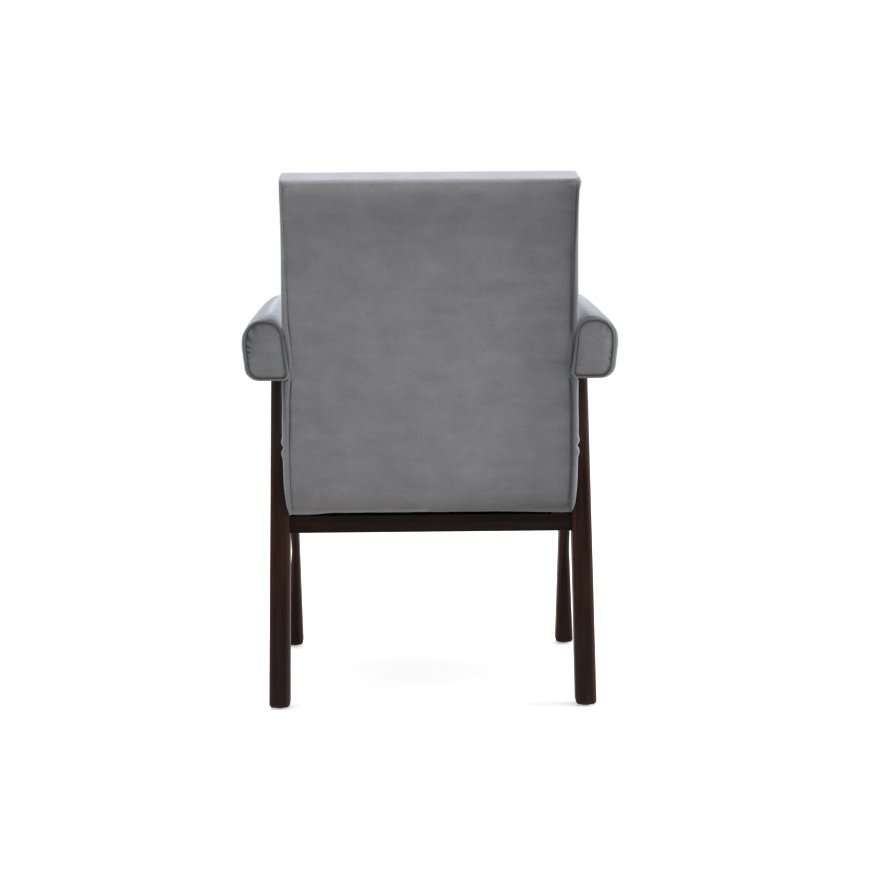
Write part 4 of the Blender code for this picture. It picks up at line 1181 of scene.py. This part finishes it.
def armSection(kind):
    # even points round the D shape, from the middle of its flat underside
    s, d = armShape, armShape[kind]
    out, into = [s["width"] / 2 - inset for inset in d["inset"]]
    low, shoulder, tall = d["low"], d["shoulder"], d["top"] - d["shoulder"]
    quarter = [radians(a) for a in range(0, 91, 10)]
    path = [(0.0, low)]
    c = d["cornerOut"]
    path += [(out - c + c * sin(a), low + c - c * cos(a)) for a in quarter]
    for a in range(0, 181, 5):
        power = 2 / d["arch"][0 if a < 90 else 1]
        wide, high = abs(cos(radians(a))) ** power, sin(radians(a)) ** power
        reach = out - d["crest"] if a < 90 else -into - d["crest"]
        path.append((d["crest"] + reach * wide, shoulder + tall * high))
    c = d["cornerIn"]
    path += [(-into + c - c * cos(a), low + c - c * sin(a)) for a in quarter]
    path.append((0.0, low))
    run = [0.0]
    for (a, b), (p, q) in zip(path, path[1:]):
        run.append(run[-1] + hypot(p - a, q - b))
    places = np.linspace(0, run[-1], s["around"] + 1)[:-1]
    return list(zip(*[np.interp(places, run, line) for line in zip(*path)]))


def closeSection(first, count):
    # squares across a section, between its two like halves
    faces = [(first, first + 1, first + count - 1)]
    for i in range(1, count // 2 - 1):
        faces.append((first + i, first + i + 1, first + count - i - 1, first + count - i))
    faces.append((first + count // 2 - 1, first + count // 2, first + count // 2 + 1))
    return faces


def armSpot(side, x, z, d):
    s = armShape
    half, shoulder = s["width"] / 2, s["shoulder"]
    share = clamp(d / s["length"])
    crown = 1 - abs(2 * share - 1) ** 4
    lift = max(z - shoulder / 2, 0) / (s["height"] - shoulder / 2)
    out = s["swell"] * crown * lift * x / half if x > 0 else 0.0
    outer = s["leanLow"] if z < s["leanFrom"] else s["leanOut"]
    lean = s["leanIn"] + (outer - s["leanIn"]) * (x + half) / (2 * half)
    slide = lean * (z - s["leanFrom"])
    return Vector((side * (s["inner"] + half + x + out + slide), s["rearY"] - d,
                   s["bottom"] + z + (s["crown"] * crown + s["rise"] * share) * lift ** 2))


def makeArmCover(word, side):
    s = armShape
    section, seam = armSection("cover"), armSection("seam" + word.title())
    middle = s["height"] * s["middle"]
    stations = s["endRows"] + list(np.linspace(s["rowsFrom"], s["length"] - s["rowsFrom"], s["rows"]))
    stations += [s["length"] - d for d in reversed(s["endRows"])]
    verts = []
    shade = []
    for d in stations:
        gap = min(d, s["length"] - d)
        k = bow(max(1 - gap / s["endRoll"], 0)) * s["rollPast"]
        mark = max(depth * fade(gap, reach) for depth, reach in s["endShade"])
        for (x, z), (seamX, seamZ) in zip(section, seam):
            p = armSpot(side, x + (seamX - x) * k, z + (seamZ - z) * k, d)
            closer = (x * s["puckerSqueeze"], d, z * s["puckerSqueeze"])
            pucker = s["pucker"] * ripple(closer, s["puckerSize"]) * fade(gap, s["puckerReach"])
            verts.append(p + Vector((side * x, 0, z - middle)).normalized() * pucker)
            dusk = s["dusk"][word] * exp(-d / s["duskReach"]) * ease(s["duskFrom"], z)
            shade.append(max(mark, dusk))
    count = len(section)
    faces = ringFaces(len(stations), count)
    for first in (0, (len(stations) - 1) * count):
        faces += closeSection(first, count)
    # the right arm's cover takes the copy with less sheen, a painted shade
    finish = velvetAlong if side > 0 else velvetShaded
    piece = addPiece("armCover" + word.title(), verts, faces, finish,
                     ["arm_cover_" + word, "arm_foam_" + word], None, {"paintedShade": shade})
    ends = s["sewnRows"] * count
    sewn = [i for i in range(len(verts)) if i < ends or i >= len(verts) - ends
            or section[i % count][1] < s["sewnLow"] or section[i % count][0] < s["sewnInside"]]
    swellCloth(piece, sewn, s["pressure"], s["cap"])
    for vertex in piece.data.vertices:
        vertex.co.z += waves(vertex.co, s["waves"]) * level(s["wavesFrom"], vertex.co.z - s["bottom"])
    smoothOnce(piece)


armEndShape = {
    "middle": 0.46,  # share of the arm's height that the end closes towards
    "steps": [-0.02, 0.0, 0.03, 0.07, 0.12, 0.18, 0.25, 0.33, 0.42, 0.52, 0.63, 0.75, 0.87, 0.95],
    "rim": 0.0012,
    "tuck": 0.006,
    "puff": 0.0062,
    "puffReach": 0.75,
    "puffCurve": 2.4,
    # folds run in from the seam where the cloth was eased: degrees round the end, spread and strength
    "foldsRearLeft": [(50, 34, 1.0), (8, 26, 0.9)],
    "foldsRearRight": [(332, 20, 0.55), (70, 30, 0.3)],
    "foldsFrontLeft": [(60, 40, 0.5), (130, 40, 0.5)],
    "foldsFrontRight": [(60, 40, 0.5), (130, 40, 0.5)],
    "foldTurn": 16,
    "foldDrift": [(2.2, 0.02)],
    "foldRun": (0.16, 0.17),  # share of the way in, and reach
    "foldDepth": 0.0026,
    "waves": [(0.0005, 0.022)],
    "wavesRate": 6,  # full after a sixth of the way in
    # shade round the end: degrees and depth, then at the bottom and in the folds
    "dusk": {"left": (40, 0.48), "right": (215, 0.20)},
    "duskSpread": 60,
    "duskRun": 0.7,
    "low": 0.35,
    "lowReach": 0.009,
    "foldShade": 0.22,
    "seamRun": 0.075,
    "crispAngle": 70,
}


def turnedFrom(turn, start):  # degrees from -180 to 180
    return (turn - start + 180) % 360 - 180


def makeArmEnd(word, side, place):
    s = armEndShape
    section = armSection("seam" + word.title())
    middle = armShape["height"] * s["middle"]
    d, way = armEnds[place]
    folds = s["folds" + place.title() + word.title()]
    duskTurn, dusk = s["dusk"][word]
    foldAt, foldReach = s["foldRun"]
    verts = []
    shade = []
    for step in s["steps"]:
        run = max(step, 0)
        for x, z in section:
            k = (1 - s["rim"] / max(hypot(x, z - middle), 1e-6)) * (1 - run)
            turn = np.degrees(np.arctan2(z - middle, x)) % 360
            fold = 0.0
            for start, spread, size in folds:
                off = turnedFrom(turn, start)
                drift = waves((x, z, start), s["foldDrift"])
                fold += size * fade(off, spread) * sin(radians(off * s["foldTurn"]) + drift)
            crease = fold * fade(run - foldAt, foldReach)
            puff = -s["tuck"]
            if step >= 0:
                puff = s["puff"] * (1 - (1 - min(run / s["puffReach"], 1)) ** s["puffCurve"]) - s["rim"]
            puff += s["foldDepth"] * crease
            puff += waves((x * k, z * k, side + way), s["waves"]) * min(run * s["wavesRate"], 1)
            p = armSpot(side, x * k, middle + (z - middle) * k, d)
            verts.append(p + Vector((0, way * puff, 0)))
            dim = dusk * fade(turnedFrom(turn, duskTurn), s["duskSpread"]) * fade(run, s["duskRun"])
            dim = max(dim, s["low"] * exp(-(z * k + middle * (1 - k)) / s["lowReach"]))
            dim = clamp(dim - s["foldShade"] * crease)
            shade.append(1 - (1 - fade(run, s["seamRun"])) * (1 - dim))
    faces = barFaces(len(s["steps"]), len(section))
    piece = addPiece("armEnd" + place.title() + word.title(), verts, faces, velvet,
                     ["arm_end_" + place + "_" + word], s["crispAngle"], {"paintedShade": shade})


armWelt = {"radius": 0.0018, "out": 0.0006, "shade": 0.45}


def makeArmWelt(word, side, place):
    d, way = armEnds[place]
    out = Vector((0, way, 0))
    points = [armSpot(side, x, z, d) + out * armWelt["out"] for x, z in armSection("seam" + word.title())]
    verts, faces = coveredCord(points, armWelt["radius"], out, closed=True)
    piece = addPiece("armWelt" + place.title() + word.title(), verts, faces, velvet,
                     marks={"paintedShade": [armWelt["shade"]] * len(verts)})
    smoothOnce(piece)


# keeps inside the round lower edges of the cover
armBoard = {"inner": 0.2325, "outer": 0.2885, "lift": 0.0005, "round": 0.006, "steps": 4, "lean": 0.08}


def makeArmBoard(word, side):
    s = armBoard
    name = "arm_board_" + word
    low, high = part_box(name)
    corners = ((s["inner"], low.z + s["lift"]), (s["outer"], high.z))
    section, _ = roundedSection(*corners, s["round"], s["steps"], s["steps"])
    verts = [(side * (x + s["lean"] * (z - high.z)), y, z) for y in (low.y, high.y) for x, z in section]
    faces = barFaces(2, len(section))
    addPiece("armBoard" + word.title(), verts, faces, beech, [name], crispAngle)


for word, side in bothSides:
    makeArmBoard(word, side)
    makeArmCover(word, side)
    for place in armEnds:
        makeArmEnd(word, side, place)
        makeArmWelt(word, side, place)
print("arms ready")

# floor, light and camera

studio = {
    "sky": 0.72,
    "floorCorners": [(-30, -60, 0), (30, -60, 0), (30, 12, 0), (-30, 12, 0)],
    "floorColour": 0.80,
    "floorGlow": 0.45,
    "lampAim": (0, 0, 0.45),
    # place, size and power
    "topLamp": ((0.2, -0.5, 3.0), 2.6, 90.0),
    "fillLamp": ((-3.0, -0.2, 1.0), 1.8, 90.0),
}
white = (1, 1, 1, 1)


def cameraRays(wiring):
    rays = wiring.node("LightPath")
    first = wiring.fed(rays, "Is Camera Ray", "Math", 0, operation="MAXIMUM")
    wiring.link(rays, "Is Glossy Ray", first, 1)
    both = wiring.fed(first, "Value", "Math", 0, operation="MAXIMUM")
    wiring.link(rays, "Is Transmission Ray", both, 1)
    return both


def makeFloor():
    mesh = bpy.data.meshes.new("floor")
    mesh.from_pydata(studio["floorCorners"], [], [(0, 1, 2, 3)])
    floor = bpy.data.objects.new("floor", mesh)
    scene.collection.objects.link(floor)
    finish, shader, wiring = newFinish("floorWhite", {
        "Base Color": (*[studio["floorColour"]] * 3, 1),
        "Roughness": 0.9,
        "Specular IOR Level": 0.0,
        "Emission Color": white,
    })
    glow = wiring.fed(cameraRays(wiring), "Value", "Math", 0, operation="MULTIPLY")
    glow.inputs[1].default_value = studio["floorGlow"]
    wiring.link(glow, "Value", shader, "Emission Strength")
    finish.cycles.emission_sampling = "NONE"
    mesh.materials.append(finish)


def makeSky():
    world = bpy.data.worlds.new("studio")
    scene.world = world
    world.use_nodes = True
    world.node_tree.nodes.clear()
    wiring = Wiring(world.node_tree)
    pick = wiring.fed(cameraRays(wiring), "Value", "MixShader", 0)
    for entry, strength in ((1, studio["sky"]), (2, 1.0)):  # light on the chair, and white behind it
        shade = wiring.node("Background", Color=white, Strength=strength)
        wiring.link(shade, "Background", pick, entry)
    wiring.fed(pick, "Shader", "OutputWorld", "Surface")


def addLamp(name):
    place, size, power = studio[name]
    lamp = bpy.data.lights.new(name, "AREA")
    lamp.shape = "SQUARE"
    lamp.size = size
    lamp.energy = power
    holder = bpy.data.objects.new(name, lamp)
    holder.location = place
    holder.rotation_euler = (Vector(studio["lampAim"]) - Vector(place)).to_track_quat("-Z", "Y").to_euler()
    scene.collection.objects.link(holder)


viewer = {
    "lens": 94.77,
    "sensor": 36.0,
    "place": (0.0411, 3.8846, 0.8581),
    "yaw": 0.01415,
    "pitch": 0.1148,
    "roll": -0.0077,
}


def addCamera():
    yaw, pitch, roll = viewer["yaw"], viewer["pitch"], viewer["roll"]
    right = Vector((-cos(yaw), sin(yaw), 0))
    ahead = Vector((-sin(yaw) * cos(pitch), -cos(yaw) * cos(pitch), -sin(pitch)))
    up = Vector((-sin(yaw) * sin(pitch), -cos(yaw) * sin(pitch), cos(pitch)))
    right, up = right * cos(roll) + up * sin(roll), up * cos(roll) - right * sin(roll)
    lens = bpy.data.cameras.new("viewer")
    lens.lens = viewer["lens"]
    lens.sensor_width = viewer["sensor"]
    camera = bpy.data.objects.new("viewer", lens)
    turn = Matrix((right, up, -ahead)).transposed().to_4x4()
    camera.matrix_world = Matrix.Translation(viewer["place"]) @ turn
    scene.collection.objects.link(camera)
    scene.camera = camera


makeFloor()
makeSky()
addLamp("topLamp")
addLamp("fillLamp")
addCamera()
print("studio ready")
